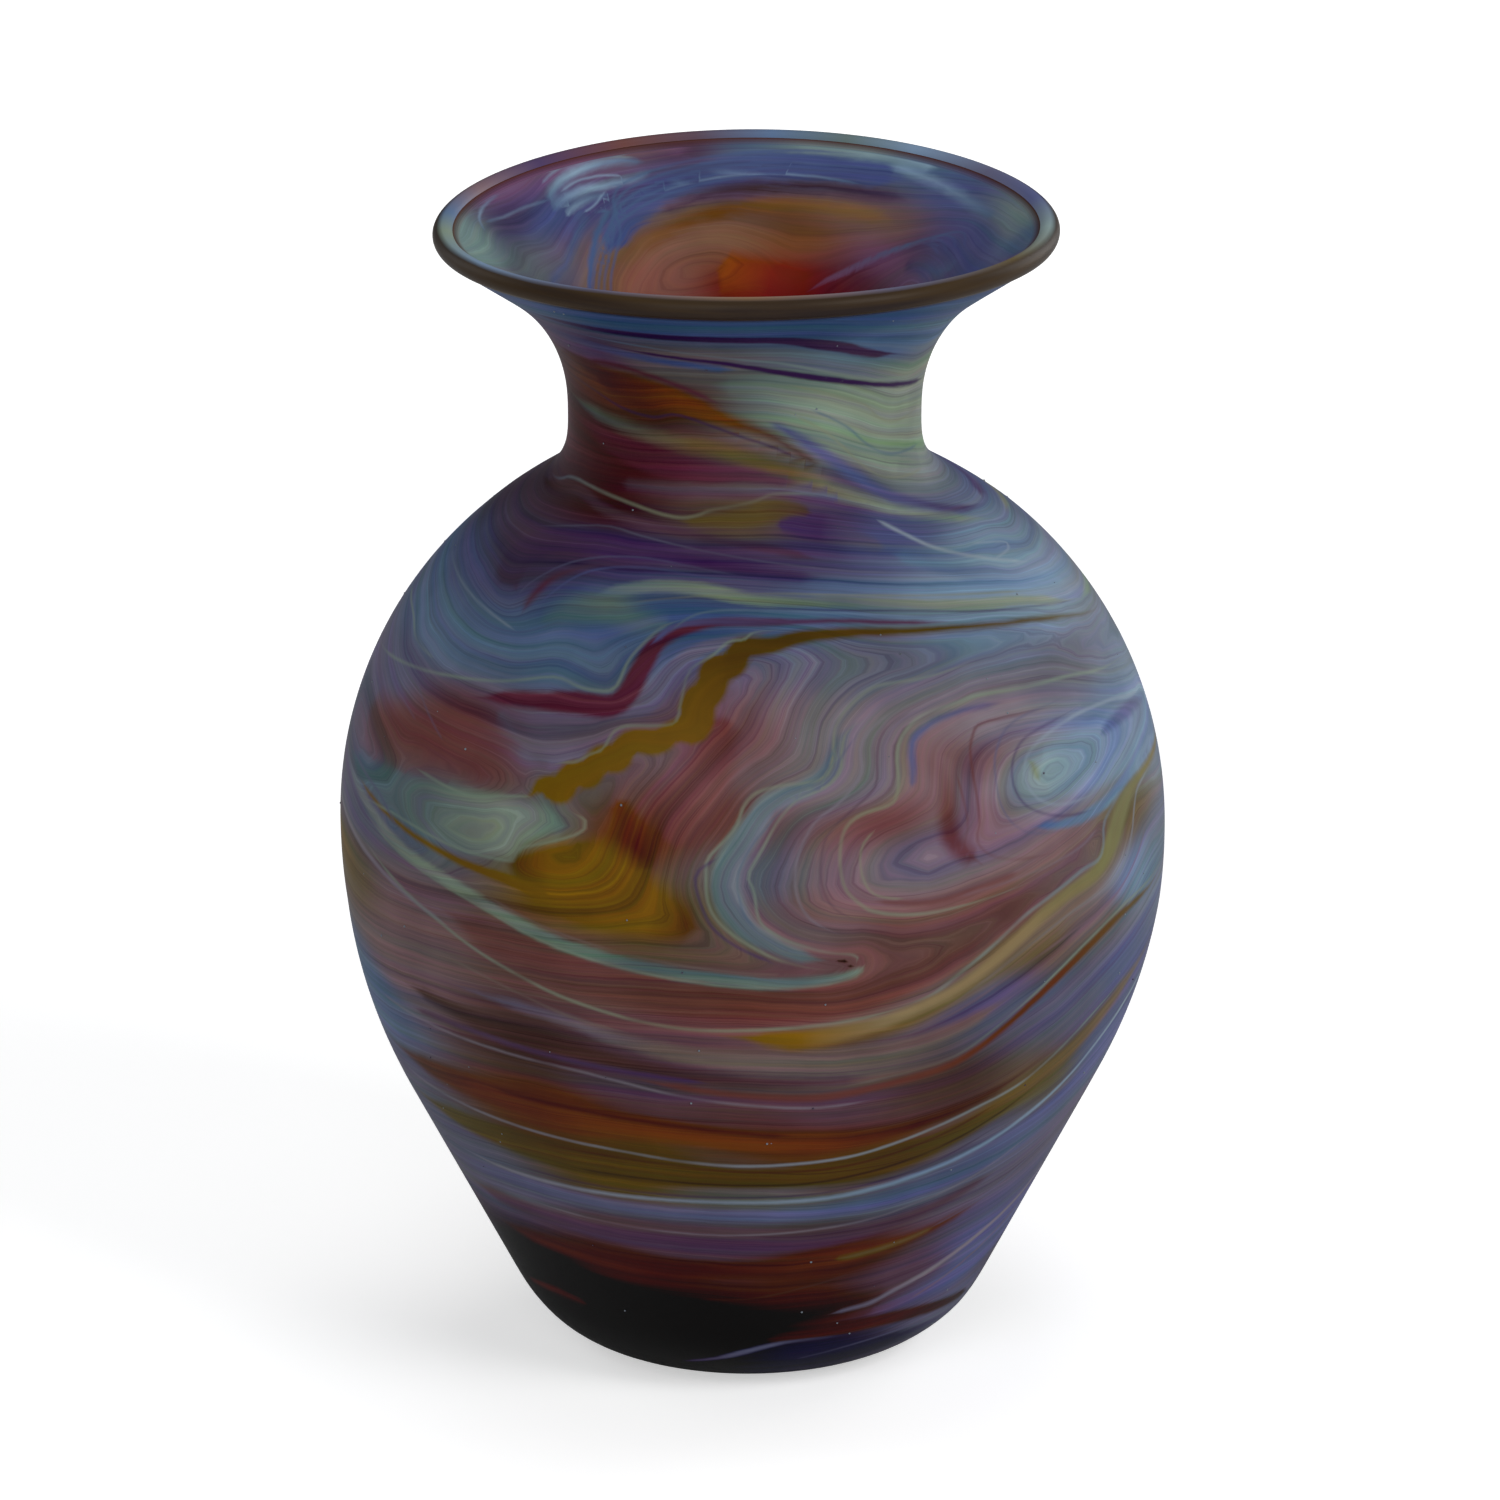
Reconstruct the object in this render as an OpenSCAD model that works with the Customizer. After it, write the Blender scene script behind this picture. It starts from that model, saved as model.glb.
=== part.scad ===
// Hand-blown art glass vase: a round belly on a small ground foot, a short throat and a wide
// flared rim. Its wall is an amber first gather under a marbled colour overlay. A dark thread
// of glass finishes the lip, and the button left by the punty sits in the hollow of the foot.
// The wall's outside is one outline of straight runs with rounded corners, turned about Z.

/* [Overall] */
// Height from the table to the top of the lip
height = 200; // [166:1:240]
// Diameter across the widest ring of the belly
belly_d = 141.4; // [116:0.2:170]
// Diameter across the outside of the lip
rim_d = 106; // [88:0.5:128]

/* [Foot] */
// Diameter at which the lower wall would meet the table if its heel were sharp
foot_d = 68.6; // [58:0.2:82]
// Radius of the rounded heel between the lower wall and the foot
heel_r = 22; // [10:0.5:26]
// Diameter inside the ground ring that the vase stands on
ring_d = 30; // [25:0.5:34]
// Height of the hollow pushed up under the foot
kick_h = 3; // [2.4:0.1:5]
// Diameter of the flat top of that hollow
kick_d = 20; // [18:0.5:23]
// Radius that softens both edges of the hollow
kick_r = 4; // [1:0.5:8]

/* [Belly and shoulder] */
// Height of the belly between its lower and its upper corner
belly_h = 62.3; // [52:0.1:75]
// Radius of the belly's lower curve
lower_r = 91; // [40:1:110]
// Radius of the belly's upper curve
upper_r = 68.5; // [30:0.5:84]
// Height of the shoulder from the belly's upper corner to the throat
shoulder_h = 24.4; // [20:0.1:30]

/* [Throat and flare] */
// Outside diameter of the throat
throat_d = 60; // [50:0.2:72]
// Height of the throat between the shoulder's corner and the flare's corner
throat_h = 24.9; // [21:0.1:30]
// Radius of the hollow curve from the shoulder into the throat
neck_r = 10; // [4:0.5:14]
// Radius of the hollow curve from the throat into the flare
flare_r = 26.5; // [12:0.5:32]
// Height of the flare from its corner to the top of the lip
flare_h = 18.4; // [15:0.1:22]

/* [Glass] */
// Thickness of the whole wall
wall_t = 3.2; // [2.6:0.1:4.2]
// Thickness of the marbled overlay, the outer part of the wall
overlay_t = 1.4; // [1:0.1:1.8]
// Thickness of glass in the floor, above the hollow of the foot
floor_t = 8; // [6:0.5:12]
// Radius of the inside curve from the floor into the wall
floor_r = 16; // [6:0.5:20]
// How much thicker the lip thread is than the wall
lip_extra = 0.4; // [0.2:0.1:1]

/* [Punty button] */
// Diameter of the button
button_d = 15; // [12:0.5:17]
// Thickness of the button
button_t = 1.4; // [1:0.1:1.8]

/* [Hidden] */
$fn = 144;
arc_step = 4; // degrees of turn in each straight piece of a rounded corner
lip_step = 8; // the same for the round lip
kept_straight = 0.02; // least share of a straight run that its rounded corners leave

// Turning and rounding of an outline, whose points are [radius, height]
function unit(v) = v / norm(v);
function left(v) = [-v.y, v.x];
function turned(v, a) = [v.x * cos(a) - v.y * sin(a), v.x * sin(a) + v.y * cos(a)];
function turn_at(a, b, c) = let (u = b - a, v = c - b) atan2(u.x * v.y - u.y * v.x, u * v);
function turns(path) =
    let (last = len(path) - 1)
    [for (i = [0:last]) i == 0 || i == last ? 0 : turn_at(path[i - 1], path[i], path[i + 1])];

// One corner at b as an arc of radius r that starts on the run a-b and turns by the angle given
function corner_arc(a, b, angle, r) =
    let (run = unit(b - a),
         start = b - run * r * tan(abs(angle) / 2),
         centre = start + left(run) * r * sign(angle),
         pieces = ceil(abs(angle) / arc_step))
    [for (k = [0:pieces]) centre + turned(start - centre, angle * k / pieces)];

// An outline with every inner corner rounded, each radius limited by the runs beside it
function rounded(path, radii) =
    let (last = len(path) - 1,
         angles = turns(path),
         reach = [for (i = [0:last]) radii[i] * tan(abs(angles[i]) / 2)],
         run = [for (i = [1:last]) norm(path[i] - path[i - 1]) * (1 - kept_straight)])
    [path[0],
     for (i = [1:last - 1])
         let (fit = min(1, run[i - 1] / (reach[i - 1] + reach[i]), run[i] / (reach[i] + reach[i + 1])))
         each corner_arc(path[i - 1], path[i], angles[i], radii[i] * fit),
     path[last]];

// The same outline moved into the glass by t, each straight piece staying parallel to itself
function mitred(a, b, c, t) =
    let (m = left(unit(b - a)), n = left(unit(c - b))) b + t * (m + n) / (1 + m * n);
function inset(path, t) =
    let (last = len(path) - 1)
    [for (i = [0:last])
        mitred(i == 0 ? 2 * path[0] - path[1] : path[i - 1],
               path[i],
               i == last ? 2 * path[last] - path[last - 1] : path[i + 1],
               t)];
function reversed(path) = [for (i = [len(path) - 1:-1:0]) path[i]];

// Heights and radii of the outside corners, from the foot to the lip
lower_h = height - belly_h - shoulder_h - throat_h - flare_h;
foot = [foot_d / 2, 0];
belly_low = [belly_d / 2, lower_h];
belly_high = [belly_d / 2, lower_h + belly_h];
neck = [throat_d / 2, belly_high.y + shoulder_h];
throat = [throat_d / 2, neck.y + throat_h];

// The lip is a round thread centred on the wall, seated where it is as wide as the wall
lip_r = (wall_t + lip_extra) / 2;
lip_seat = sqrt(pow(lip_r, 2) - pow(wall_t / 2, 2));
lip = [rim_d / 2 - lip_r, height - lip_r];
to_lip = lip - throat;
flare_angle = atan2(to_lip.y, to_lip.x) - asin(wall_t / 2 / norm(to_lip));
flare_run = [cos(flare_angle), sin(flare_angle)];
flare_end = lip - left(flare_run) * wall_t / 2 - flare_run * lip_seat;

// Outside of the vase, the joint between the two gathers, and the inside
outside = rounded(
    [[0, kick_h], [kick_d / 2, kick_h], [ring_d / 2, 0], foot,
     belly_low, belly_high, neck, throat, flare_end],
    [0, kick_r, kick_r, heel_r, lower_r, upper_r, neck_r, flare_r, 0]);
joint = inset(outside, overlay_t);
wall = inset([foot, belly_low, belly_high, neck, throat, flare_end], wall_t);
floor_z = kick_h + floor_t;
floor_edge = wall[0] + (wall[1] - wall[0]) * (floor_z - wall[0].y) / (wall[1].y - wall[0].y);
inside = rounded(
    [[0, floor_z], floor_edge, wall[1], wall[2], wall[3], wall[4], wall[5]],
    [0, floor_r, lower_r - wall_t, upper_r - wall_t, neck_r + wall_t, flare_r + wall_t, 0]);

// Marbled colour glass over the whole outside of the bubble, with the foot ground into it
module marbled_overlay() {
    color("slategray")
        rotate_extrude()
            polygon(concat(outside, reversed(joint)));
}

// Amber first gather: the inside of the wall and the thick floor
module inner_gather() {
    color("darkgoldenrod")
        rotate_extrude()
            polygon(concat(joint, reversed(inside)));
}

// Dark thread wrapped on the edge of the flare and melted round, cut flat where it sits
module lip_wrap() {
    sweep = 180 + 2 * asin(lip_seat / lip_r);
    pieces = ceil(sweep / lip_step);
    color("darkolivegreen")
        rotate_extrude()
            polygon([for (k = [0:pieces]) lip + lip_r * turned(flare_run, sweep * (k / pieces - 0.5))]);
}

// Button of glass left in the hollow of the foot where the punty was cracked off
module pontil_button() {
    edge = button_t / 2;
    color("goldenrod")
        translate([0, 0, kick_h - button_t])
            rotate_extrude()
                polygon([[0, 0],
                         [button_d / 2 - edge, 0],
                         [button_d / 2, edge],
                         [button_d / 2, button_t],
                         [0, button_t]]);
}

marbled_overlay();
inner_gather();
lip_wrap();
pontil_button();
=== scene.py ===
import math

import bpy
import numpy as np
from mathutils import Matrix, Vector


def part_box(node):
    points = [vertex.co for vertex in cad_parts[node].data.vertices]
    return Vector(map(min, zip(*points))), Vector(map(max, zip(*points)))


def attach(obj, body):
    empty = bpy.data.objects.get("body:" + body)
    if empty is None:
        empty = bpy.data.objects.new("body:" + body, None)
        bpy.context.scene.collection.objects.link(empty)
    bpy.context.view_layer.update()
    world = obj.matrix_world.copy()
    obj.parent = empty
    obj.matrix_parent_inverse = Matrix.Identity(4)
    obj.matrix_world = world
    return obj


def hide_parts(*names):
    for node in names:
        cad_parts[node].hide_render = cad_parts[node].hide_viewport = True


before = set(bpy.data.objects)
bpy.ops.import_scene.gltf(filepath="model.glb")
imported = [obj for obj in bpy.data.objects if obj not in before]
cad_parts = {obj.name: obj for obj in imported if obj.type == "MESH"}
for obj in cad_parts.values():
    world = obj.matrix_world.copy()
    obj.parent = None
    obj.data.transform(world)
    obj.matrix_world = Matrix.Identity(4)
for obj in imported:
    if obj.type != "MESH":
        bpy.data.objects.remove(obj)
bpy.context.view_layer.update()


# ---------------------------------------------------------------------------
# Table and light. The vase stands on a plain pale sweep among five large soft
# boxes, the brightest to its front right, with a broad fill from the front left.
# ---------------------------------------------------------------------------
MM = 0.001
foot_low, lip_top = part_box("marbled_overlay")[0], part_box("lip_wrap")[1]
vase_height = lip_top[2]
floor_z = foot_low[2]


def plain_object(name, data):
    """A new object at the origin, in the scene."""
    made = bpy.data.objects.new(name, data)
    bpy.context.scene.collection.objects.link(made)
    return made


def look_at(thing, place, target):
    """Puts a camera or a light at place and points it at target."""
    away = np.array(place) - np.array(target)
    across = math.hypot(away[0], away[1])
    thing.location = place
    thing.rotation_euler = (math.atan2(across, away[2]), 0, math.atan2(away[0], -away[1]))


camera_distance, camera_rise = 2.2, math.radians(19.0)
frame_height = 0.2568  # what the view covers at the vase, from bottom to top
aim = (0.0, 0.0, 0.1049)
camera = bpy.data.cameras.new("camera")
camera.sensor_width = 36
camera.lens = camera.sensor_width * camera_distance / frame_height
camera.clip_end = 20
camera_stand = plain_object("camera", camera)
look_at(camera_stand, (0, -camera_distance * math.cos(camera_rise),
                       aim[2] + camera_distance * math.sin(camera_rise)), aim)
bpy.context.scene.camera = camera_stand
bpy.context.scene.view_settings.view_transform = "Standard"


def soft_box(name, place, size, watts):
    """A square soft light aimed at the middle of the vase."""
    light = bpy.data.lights.new(name, "AREA")
    light.size, light.energy = size, watts
    look_at(plain_object(name, light), place, (0, 0, vase_height / 2))


soft_box("key_right", (1.3, -1.1, 1.1), 0.9, 17)
soft_box("rim_right", (1.1, 1.0, 0.5), 0.9, 7)
soft_box("rim_left", (-1.2, 0.8, 0.6), 0.9, 3)
soft_box("fill_front", (-0.5, -1.6, 0.9), 1.2, 11)
soft_box("top", (0.0, 0.2, 1.6), 1.0, 5)

sky = bpy.data.worlds.new("sky")
sky.use_nodes = True
bpy.context.scene.world = sky
sky_nodes = sky.node_tree
seen = sky_nodes.nodes.new("ShaderNodeLightPath")
sky_mix = sky_nodes.nodes.new("ShaderNodeMixShader")
backdrop = sky_nodes.nodes.new("ShaderNodeBackground")
ambient = sky_nodes.nodes["Background"]
backdrop.inputs["Color"].default_value = (1, 1, 1, 1)
ambient.inputs["Color"].default_value = (0.9, 0.95, 1, 1)
ambient.inputs["Strength"].default_value = 0.12
sky_nodes.links.new(seen.outputs["Is Camera Ray"], sky_mix.inputs[0])
sky_nodes.links.new(ambient.outputs[0], sky_mix.inputs[1])
sky_nodes.links.new(backdrop.outputs[0], sky_mix.inputs[2])
sky_nodes.links.new(sky_mix.outputs[0], sky_nodes.nodes["World Output"].inputs[0])

floor_mesh = bpy.data.meshes.new("floor")
reach = 6.0
floor_mesh.from_pydata([(-reach, -reach, floor_z), (reach, -reach, floor_z),
                        (reach, reach, floor_z), (-reach, reach, floor_z)], [], [(0, 1, 2, 3)])
table = plain_object("floor", floor_mesh)
pale = bpy.data.materials.new("pale_sweep")
pale.use_nodes = True
pale_bsdf = pale.node_tree.nodes["Principled BSDF"]
pale_bsdf.inputs["Base Color"].default_value = (0.9, 0.9, 0.9, 1)
pale_bsdf.inputs["Roughness"].default_value = 0.9
pale_seen = pale.node_tree.nodes.new("ShaderNodeLightPath")
pale_where = pale.node_tree.nodes.new("ShaderNodeTexCoord")
pale_far = pale.node_tree.nodes.new("ShaderNodeVectorMath")
pale_far.operation = "LENGTH"
pale_lift = pale.node_tree.nodes.new("ShaderNodeMapRange")
pale_lift.interpolation_type = "SMOOTHSTEP"
for label, value in zip(("From Min", "From Max", "To Min", "To Max"), (0.3, 1.4, 1.0, 2.2)):
    pale_lift.inputs[label].default_value = value
pale_glow = pale.node_tree.nodes.new("ShaderNodeMath")
pale_glow.operation = "MULTIPLY"
for start, end in ((pale_where.outputs["Object"], pale_far.inputs[0]),
                   (pale_far.outputs["Value"], pale_lift.inputs["Value"]),
                   (pale_lift.outputs["Result"], pale_glow.inputs[0]),
                   (pale_seen.outputs["Is Camera Ray"], pale_glow.inputs[1]),
                   (pale_glow.outputs[0], pale_bsdf.inputs["Emission Strength"])):
    pale.node_tree.links.new(start, end)
pale_bsdf.inputs["Emission Color"].default_value = (0.5, 0.5, 0.5, 1)
table.data.materials.append(pale)


# ---------------------------------------------------------------------------
# Marbled overlay: the outer gather of colour glass, combed and twisted while
# hot, then blown out into the belly. It is acid-frosted to a satin finish. The
# overlay and the clear amber gather under it are fused over their whole face.
# ---------------------------------------------------------------------------
COLUMNS = 432  # vertices round the glass
JOINT_STEP = 9 * MM  # distance between the rings of the fused side, which is hidden
FOOT_TURN = 6 * MM  # below this the outside turns in under the foot
LIP_SEAT = 190 * MM  # above this a face that looks up is the seat of the lip thread
ROW_STEP = 1.3 * MM  # distance between the rings of the side that shows


def side_outline(node, wanted):
    """Radius and height of the rings on one side of a turned CAD node, in order from the axis."""
    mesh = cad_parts[node].data
    place = np.array([vertex.co[:] for vertex in mesh.vertices])
    rings = set()
    for face in mesh.polygons:
        corners = place[list(face.vertices)]
        middle = corners.mean(axis=0)
        out = math.hypot(middle[0], middle[1]) + 1e-9
        slope = (face.normal[0] * middle[0] + face.normal[1] * middle[1]) / out
        if face.area > 1e-12 and wanted(slope, face.normal[2], middle[2]):
            rings.update((round(math.hypot(x, y), 5), round(z, 5)) for x, y, z in corners)
    left = np.array(sorted(rings))
    path = [left[0]]
    left = left[1:]
    while len(left):
        nearest = int(np.argmin(np.hypot(*(left - path[-1]).T)))
        path.append(left[nearest])
        left = np.delete(left, nearest, axis=0)
    return np.array(path)


def run_of(path):
    """Distance along an outline at each of its points."""
    return np.concatenate([[0], np.cumsum(np.hypot(*np.diff(path, axis=0).T))])


def even_rings(path, step, soften=0):
    """An outline with a ring about every step, its flats softened over that many rings each way."""
    run = run_of(path)
    places = np.linspace(0, run[-1], max(2, int(round(run[-1] / step))) + 1)
    even = np.column_stack([np.interp(places, run, path[:, k]) for k in (0, 1)])
    if soften:
        ahead = np.vstack([even[:1]] * soften + [even] + [even[-1:]] * soften)
        soft = sum(ahead[k:k + len(even)] for k in range(2 * soften + 1)) / (2 * soften + 1)
        even[soften:-soften] = soft[soften:-soften]
    return even


def is_outside(slope, up, height):
    """Faces of the overlay that show from outside, the underside of the foot among them."""
    if height < FOOT_TURN:
        return up < 0.02
    return slope > 0.02 and not (height > LIP_SEAT and up > 0)


outside = even_rings(side_outline("marbled_overlay", is_outside), ROW_STEP, 2)
outside[0] = (0, outside[1, 1])
joint_side = even_rings(side_outline("marbled_overlay", lambda *face: not is_outside(*face)),
                        JOINT_STEP)


def turned_glass_tree():
    """A Geometry Nodes tree that turns an outline's points into a closed shell about Z."""
    tree = bpy.data.node_groups.new("turned_glass", "GeometryNodeTree")
    face = tree.interface
    face.new_socket("Geometry", in_out="INPUT", socket_type="NodeSocketGeometry")
    for label, kind in (("Outline", "Object"), ("Columns", "Int"), ("Rings", "Int"),
                        ("Glass", "Material")):
        face.new_socket(label, in_out="INPUT", socket_type="NodeSocket" + kind)
    face.new_socket("Geometry", in_out="OUTPUT", socket_type="NodeSocketGeometry")

    def add(kind, **values):
        made = tree.nodes.new(kind)
        for key, value in values.items():
            setattr(made, key, value)
        return made

    def math_node(operation, first, second):
        made = add("ShaderNodeMath", operation=operation)
        for socket, value in zip(made.inputs, (first, second)):
            if isinstance(value, bpy.types.NodeSocket):
                tree.links.new(value, socket)
            elif value is not None:
                socket.default_value = value
        return made.outputs[0]

    link = tree.links.new
    given = add("NodeGroupInput").outputs
    grid = add("GeometryNodeMeshGrid")
    link(math_node("ADD", given["Columns"], 1.0), grid.inputs["Vertices X"])
    link(given["Rings"], grid.inputs["Vertices Y"])
    index = add("GeometryNodeInputIndex").outputs[0]
    ring = math_node("FLOORED_MODULO", index, given["Rings"])
    column = math_node("FLOOR", math_node("DIVIDE", math_node("ADD", index, 0.5), given["Rings"]),
                       None)
    angle = math_node("MULTIPLY", math_node("DIVIDE", column, given["Columns"]), math.tau)
    source = add("GeometryNodeObjectInfo")
    link(given["Outline"], source.inputs["Object"])
    point = add("GeometryNodeSampleIndex", data_type="FLOAT_VECTOR", domain="POINT")
    link(source.outputs["Geometry"], point.inputs["Geometry"])
    link(add("GeometryNodeInputPosition").outputs[0], point.inputs["Value"])
    link(ring, point.inputs["Index"])
    parts = add("ShaderNodeSeparateXYZ")
    link(point.outputs[0], parts.inputs[0])
    place = add("ShaderNodeCombineXYZ")
    link(math_node("MULTIPLY", parts.outputs[0], math_node("COSINE", angle, None)), place.inputs[0])
    link(math_node("MULTIPLY", parts.outputs[0], math_node("SINE", angle, None)), place.inputs[1])
    link(parts.outputs[2], place.inputs[2])
    keep_uv = add("GeometryNodeStoreNamedAttribute", data_type="FLOAT2", domain="CORNER")
    keep_uv.inputs["Name"].default_value = "OFBake"
    link(grid.outputs["Mesh"], keep_uv.inputs["Geometry"])
    link(grid.outputs["UV Map"], keep_uv.inputs["Value"])
    keep_run = add("GeometryNodeStoreNamedAttribute", data_type="FLOAT", domain="POINT")
    keep_run.inputs["Name"].default_value = "run"
    link(keep_uv.outputs[0], keep_run.inputs["Geometry"])
    link(parts.outputs[1], keep_run.inputs["Value"])
    turn = add("GeometryNodeSetPosition")
    link(keep_run.outputs[0], turn.inputs["Geometry"])
    link(place.outputs[0], turn.inputs["Position"])
    weld = add("GeometryNodeMergeByDistance")
    weld.inputs["Distance"].default_value = 0.002 * MM
    link(turn.outputs[0], weld.inputs["Geometry"])
    smooth = add("GeometryNodeSetShadeSmooth")
    link(weld.outputs[0], smooth.inputs["Geometry"])
    real = add("GeometryNodeRealizeInstances")
    link(smooth.outputs[0], real.inputs[0])
    paint = add("GeometryNodeSetMaterial")
    link(real.outputs[0], paint.inputs["Geometry"])
    link(given["Glass"], paint.inputs["Material"])
    link(paint.outputs[0], add("NodeGroupOutput").inputs[0])
    return tree


turning = turned_glass_tree()


def evaluated_piece(name, tree, values, base=None):
    """The plain mesh that a Geometry Nodes tree makes from the values named, as a new object."""
    holder = plain_object(name + "_maker", base or bpy.data.meshes.new(name + "_maker"))
    made = holder.modifiers.new("make", "NODES")
    made.node_group = tree
    for item in tree.interface.items_tree:
        if item.in_out == "INPUT" and item.name in values:
            made[item.identifier] = values[item.name]
    bpy.context.view_layer.update()
    done = holder.evaluated_get(bpy.context.evaluated_depsgraph_get())
    mesh = bpy.data.meshes.new_from_object(done)
    bpy.data.objects.remove(holder)
    mesh.name = name
    return plain_object(name, mesh)


def turned_piece(name, outline, runs, glass, columns=COLUMNS):
    """A shell turned from outline; runs holds the distance kept at each ring for its paint."""
    points = bpy.data.meshes.new("outline")
    points.from_pydata([(r, run, z) for (r, z), run in zip(outline, runs)], [], [])
    guide = plain_object("outline", points)
    piece = evaluated_piece(name, turning, {"Outline": guide, "Columns": columns,
                                            "Rings": len(outline), "Glass": glass})
    bpy.data.objects.remove(guide)
    piece.data.set_sharp_from_angle(angle=math.radians(35))
    return piece


def coords(mesh):
    flat = np.empty(len(mesh.vertices) * 3)
    mesh.vertices.foreach_get("co", flat)
    return flat.reshape(-1, 3)


def leaned(mesh):
    """Gives a turned mesh the lean of its axis and the slight waver of its hand-opened rim."""
    place = coords(mesh)
    height = place[:, 2] / MM
    turn = np.arctan2(place[:, 0], -place[:, 1])
    lean = np.interp(height, (0, 8, 50, 80, 106, 145, 158, 187, 200),
                     (-0.5, 0.1, 0, 0.6, 0.3, 0, -0.9, -0.9, -0.6))
    lift = np.interp(height, (165, 180, 200), (0, 0.15, 1)) ** 1.5
    place[:, 0] += lean * MM
    place[:, 2] += lift * MM * (0.2 + 0.5 * np.cos(turn) + 0.8 * np.cos(2 * turn)
                                + 0.4 * np.sin(turn))
    mesh.vertices.foreach_set("co", place.ravel())
    mesh.update()


LAYERS = {"pool": ("pool", "wash"), "band": ("band", "sash"), "line": ("line", "cord"),
          "thread": ("thread", "hair", "filament")}
TAPER = 11  # a streak thins away over an eleventh of its length at each end
STEER_REACH = 26  # mm to each side of a streak over which the finest drawing follows it
FLOW_COLUMNS, FLOW_RINGS = 180, 96  # cells of the height map of the flow
FLOW_STEPS = 260  # steps that settle that map


class GlassPaint:
    """Colour laid on a turned mesh as drawn-out streaks, before it goes to its material.

    Places are (degrees round from the front, mm up, half width in mm). Each layer keeps the
    nearest streak's colour, the signed distance across it, its half width, the plain distance
    and its softness, so that an edge stays sharp between vertices.
    """

    def __init__(self, mesh, outline, first_ring=0):
        self.mesh = mesh
        place = coords(mesh)
        self.turn = np.degrees(np.arctan2(place[:, 0], -place[:, 1]))
        self.around = np.hypot(place[:, 0], place[:, 1]) / MM
        run = np.empty(len(place))
        mesh.attributes["run"].data.foreach_get("value", run)
        self.run = run / MM
        self.up = place[:, 2] / MM
        self.radii, self.heights = (outline[first_ring:] / MM).T
        self.runs = run_of(outline)[first_ring:] / MM
        if self.heights[0] > self.heights[-1]:
            self.radii, self.heights, self.runs = (
                values[::-1] for values in (self.radii, self.heights, self.runs))
        self.hidden = self.run < 0
        self.run[self.hidden] = np.interp(self.up[self.hidden], self.heights, self.runs)
        self.guides = []
        self.uphill = 1
        self.layers = {}

    def layer(self, name):
        """Red, green, blue, across, half width, distance, softness at each vertex, and depth."""
        if name not in self.layers:
            blank = np.zeros((len(self.turn), 8))
            blank[:, 3:] = (9, 0, 9, 1, -30)
            self.layers[name] = blank
        return self.layers[name]

    def course(self, places, width):
        """A smooth course through the places, as degrees, mm along the outline and half width."""
        points = np.array([(*p, width)[:3] if len(p) == 2 else p for p in places], float)
        points[:, 1] = np.interp(points[:, 1], self.heights, self.runs)
        points = np.vstack([2 * points[0] - points[1], points, 2 * points[-1] - points[-2]])
        a, b, c, d = points[:-3, None], points[1:-2, None], points[2:-1, None], points[3:, None]
        t = np.linspace(0, 1, 5)[None, :-1, None]
        smooth = 0.5 * (2 * b + (c - a) * t + (2 * a - 5 * b + 4 * c - d) * t ** 2
                        + (3 * b - a - 3 * c + d) * t ** 3)
        return np.vstack([smooth.reshape(-1, 3), points[-2:-1]])

    def nearest(self, course, reach, turn=None, run=None, around=None):
        """Which places are near a course, and how far across, how wide and how far along it is."""
        turn = self.turn if turn is None else turn
        run = self.run if run is None else run
        around = self.around if around is None else around
        middle = (course[:, 0].min() + course[:, 0].max()) / 2
        spread = (course[:, 0].max() - course[:, 0].min()) / 2
        off = (turn - middle + 180) % 360 - 180
        near = np.nonzero((np.abs(off) * np.radians(around) < np.radians(spread) * around + reach)
                          & (run > course[:, 1].min() - reach)
                          & (run < course[:, 1].max() + reach))[0]
        scale = np.radians(around[near])[:, None]
        x = (course[None, :, 0] - middle - off[near, None]) * scale
        y = course[None, :, 1] - run[near, None]
        dx, dy = np.diff(x), np.diff(y)
        size = dx ** 2 + dy ** 2 + 1e-9
        t = np.clip(-(x[:, :-1] * dx + y[:, :-1] * dy) / size, 0, 1)
        ox, oy = x[:, :-1] + t * dx, y[:, :-1] + t * dy
        gap = ox ** 2 + oy ** 2
        pick = (np.arange(len(near)), gap.argmin(axis=1))
        far = np.sqrt(gap[pick])
        cross = dx[pick] * -oy[pick] + dy[pick] * ox[pick]
        length = np.sqrt(size[pick])
        wide = course[pick[1], 2] * (1 - t[pick]) + course[pick[1] + 1, 2] * t[pick]
        along = (pick[1] + t[pick]) / (len(course) - 1)
        normal = np.column_stack([-dy[pick], dx[pick]]) / length[:, None]
        return near, far, np.where(cross >= 0, 1.0, -1.0), wide, along, normal

    def streak(self, kind, colours, places, width=1.0, soft=0.7, guide=True):
        """A streak in one colour, or fading through several from its first place to its last.

        It thins away at both ends, and goes in whichever layer of its kind has the fewest
        others close to it, so that two streaks that touch both keep a clean edge.
        """
        course = self.course(places, width)
        if guide:
            self.steer(places)
        near, far, side, wide, along, _ = self.nearest(course, course[:, 2].max() + 4 * soft + 3)
        drawn = np.clip(np.minimum(along, 1 - along) * TAPER, 0, 1)
        wide = wide * drawn - soft * (1 - drawn)
        depth = (wide - far) / soft
        close = near[far < wide + 1.2]
        crowd = [(self.layer(name)[close, 5] < self.layer(name)[close, 4] + 2.2).sum()
                 for name in LAYERS[kind]]
        kept = self.layer(LAYERS[kind][int(np.argmin(crowd))])
        better = depth > kept[near, 7]
        stops = np.array([colour_of(name) for name in colours.split()])
        tint = np.column_stack([np.interp(along, np.linspace(0, 1, len(stops)), stops[:, k])
                                for k in range(3)])
        values = np.column_stack([tint, side * far, wide, far, np.full(len(far), soft), depth])
        kept[near[better]] = values[better]

    def pool(self, colours, places, width=1.0, soft=1.5):
        """A broad soft area, which doesn't steer the finest drawing."""
        self.streak("pool", colours, places, width, soft, guide=False)

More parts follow.
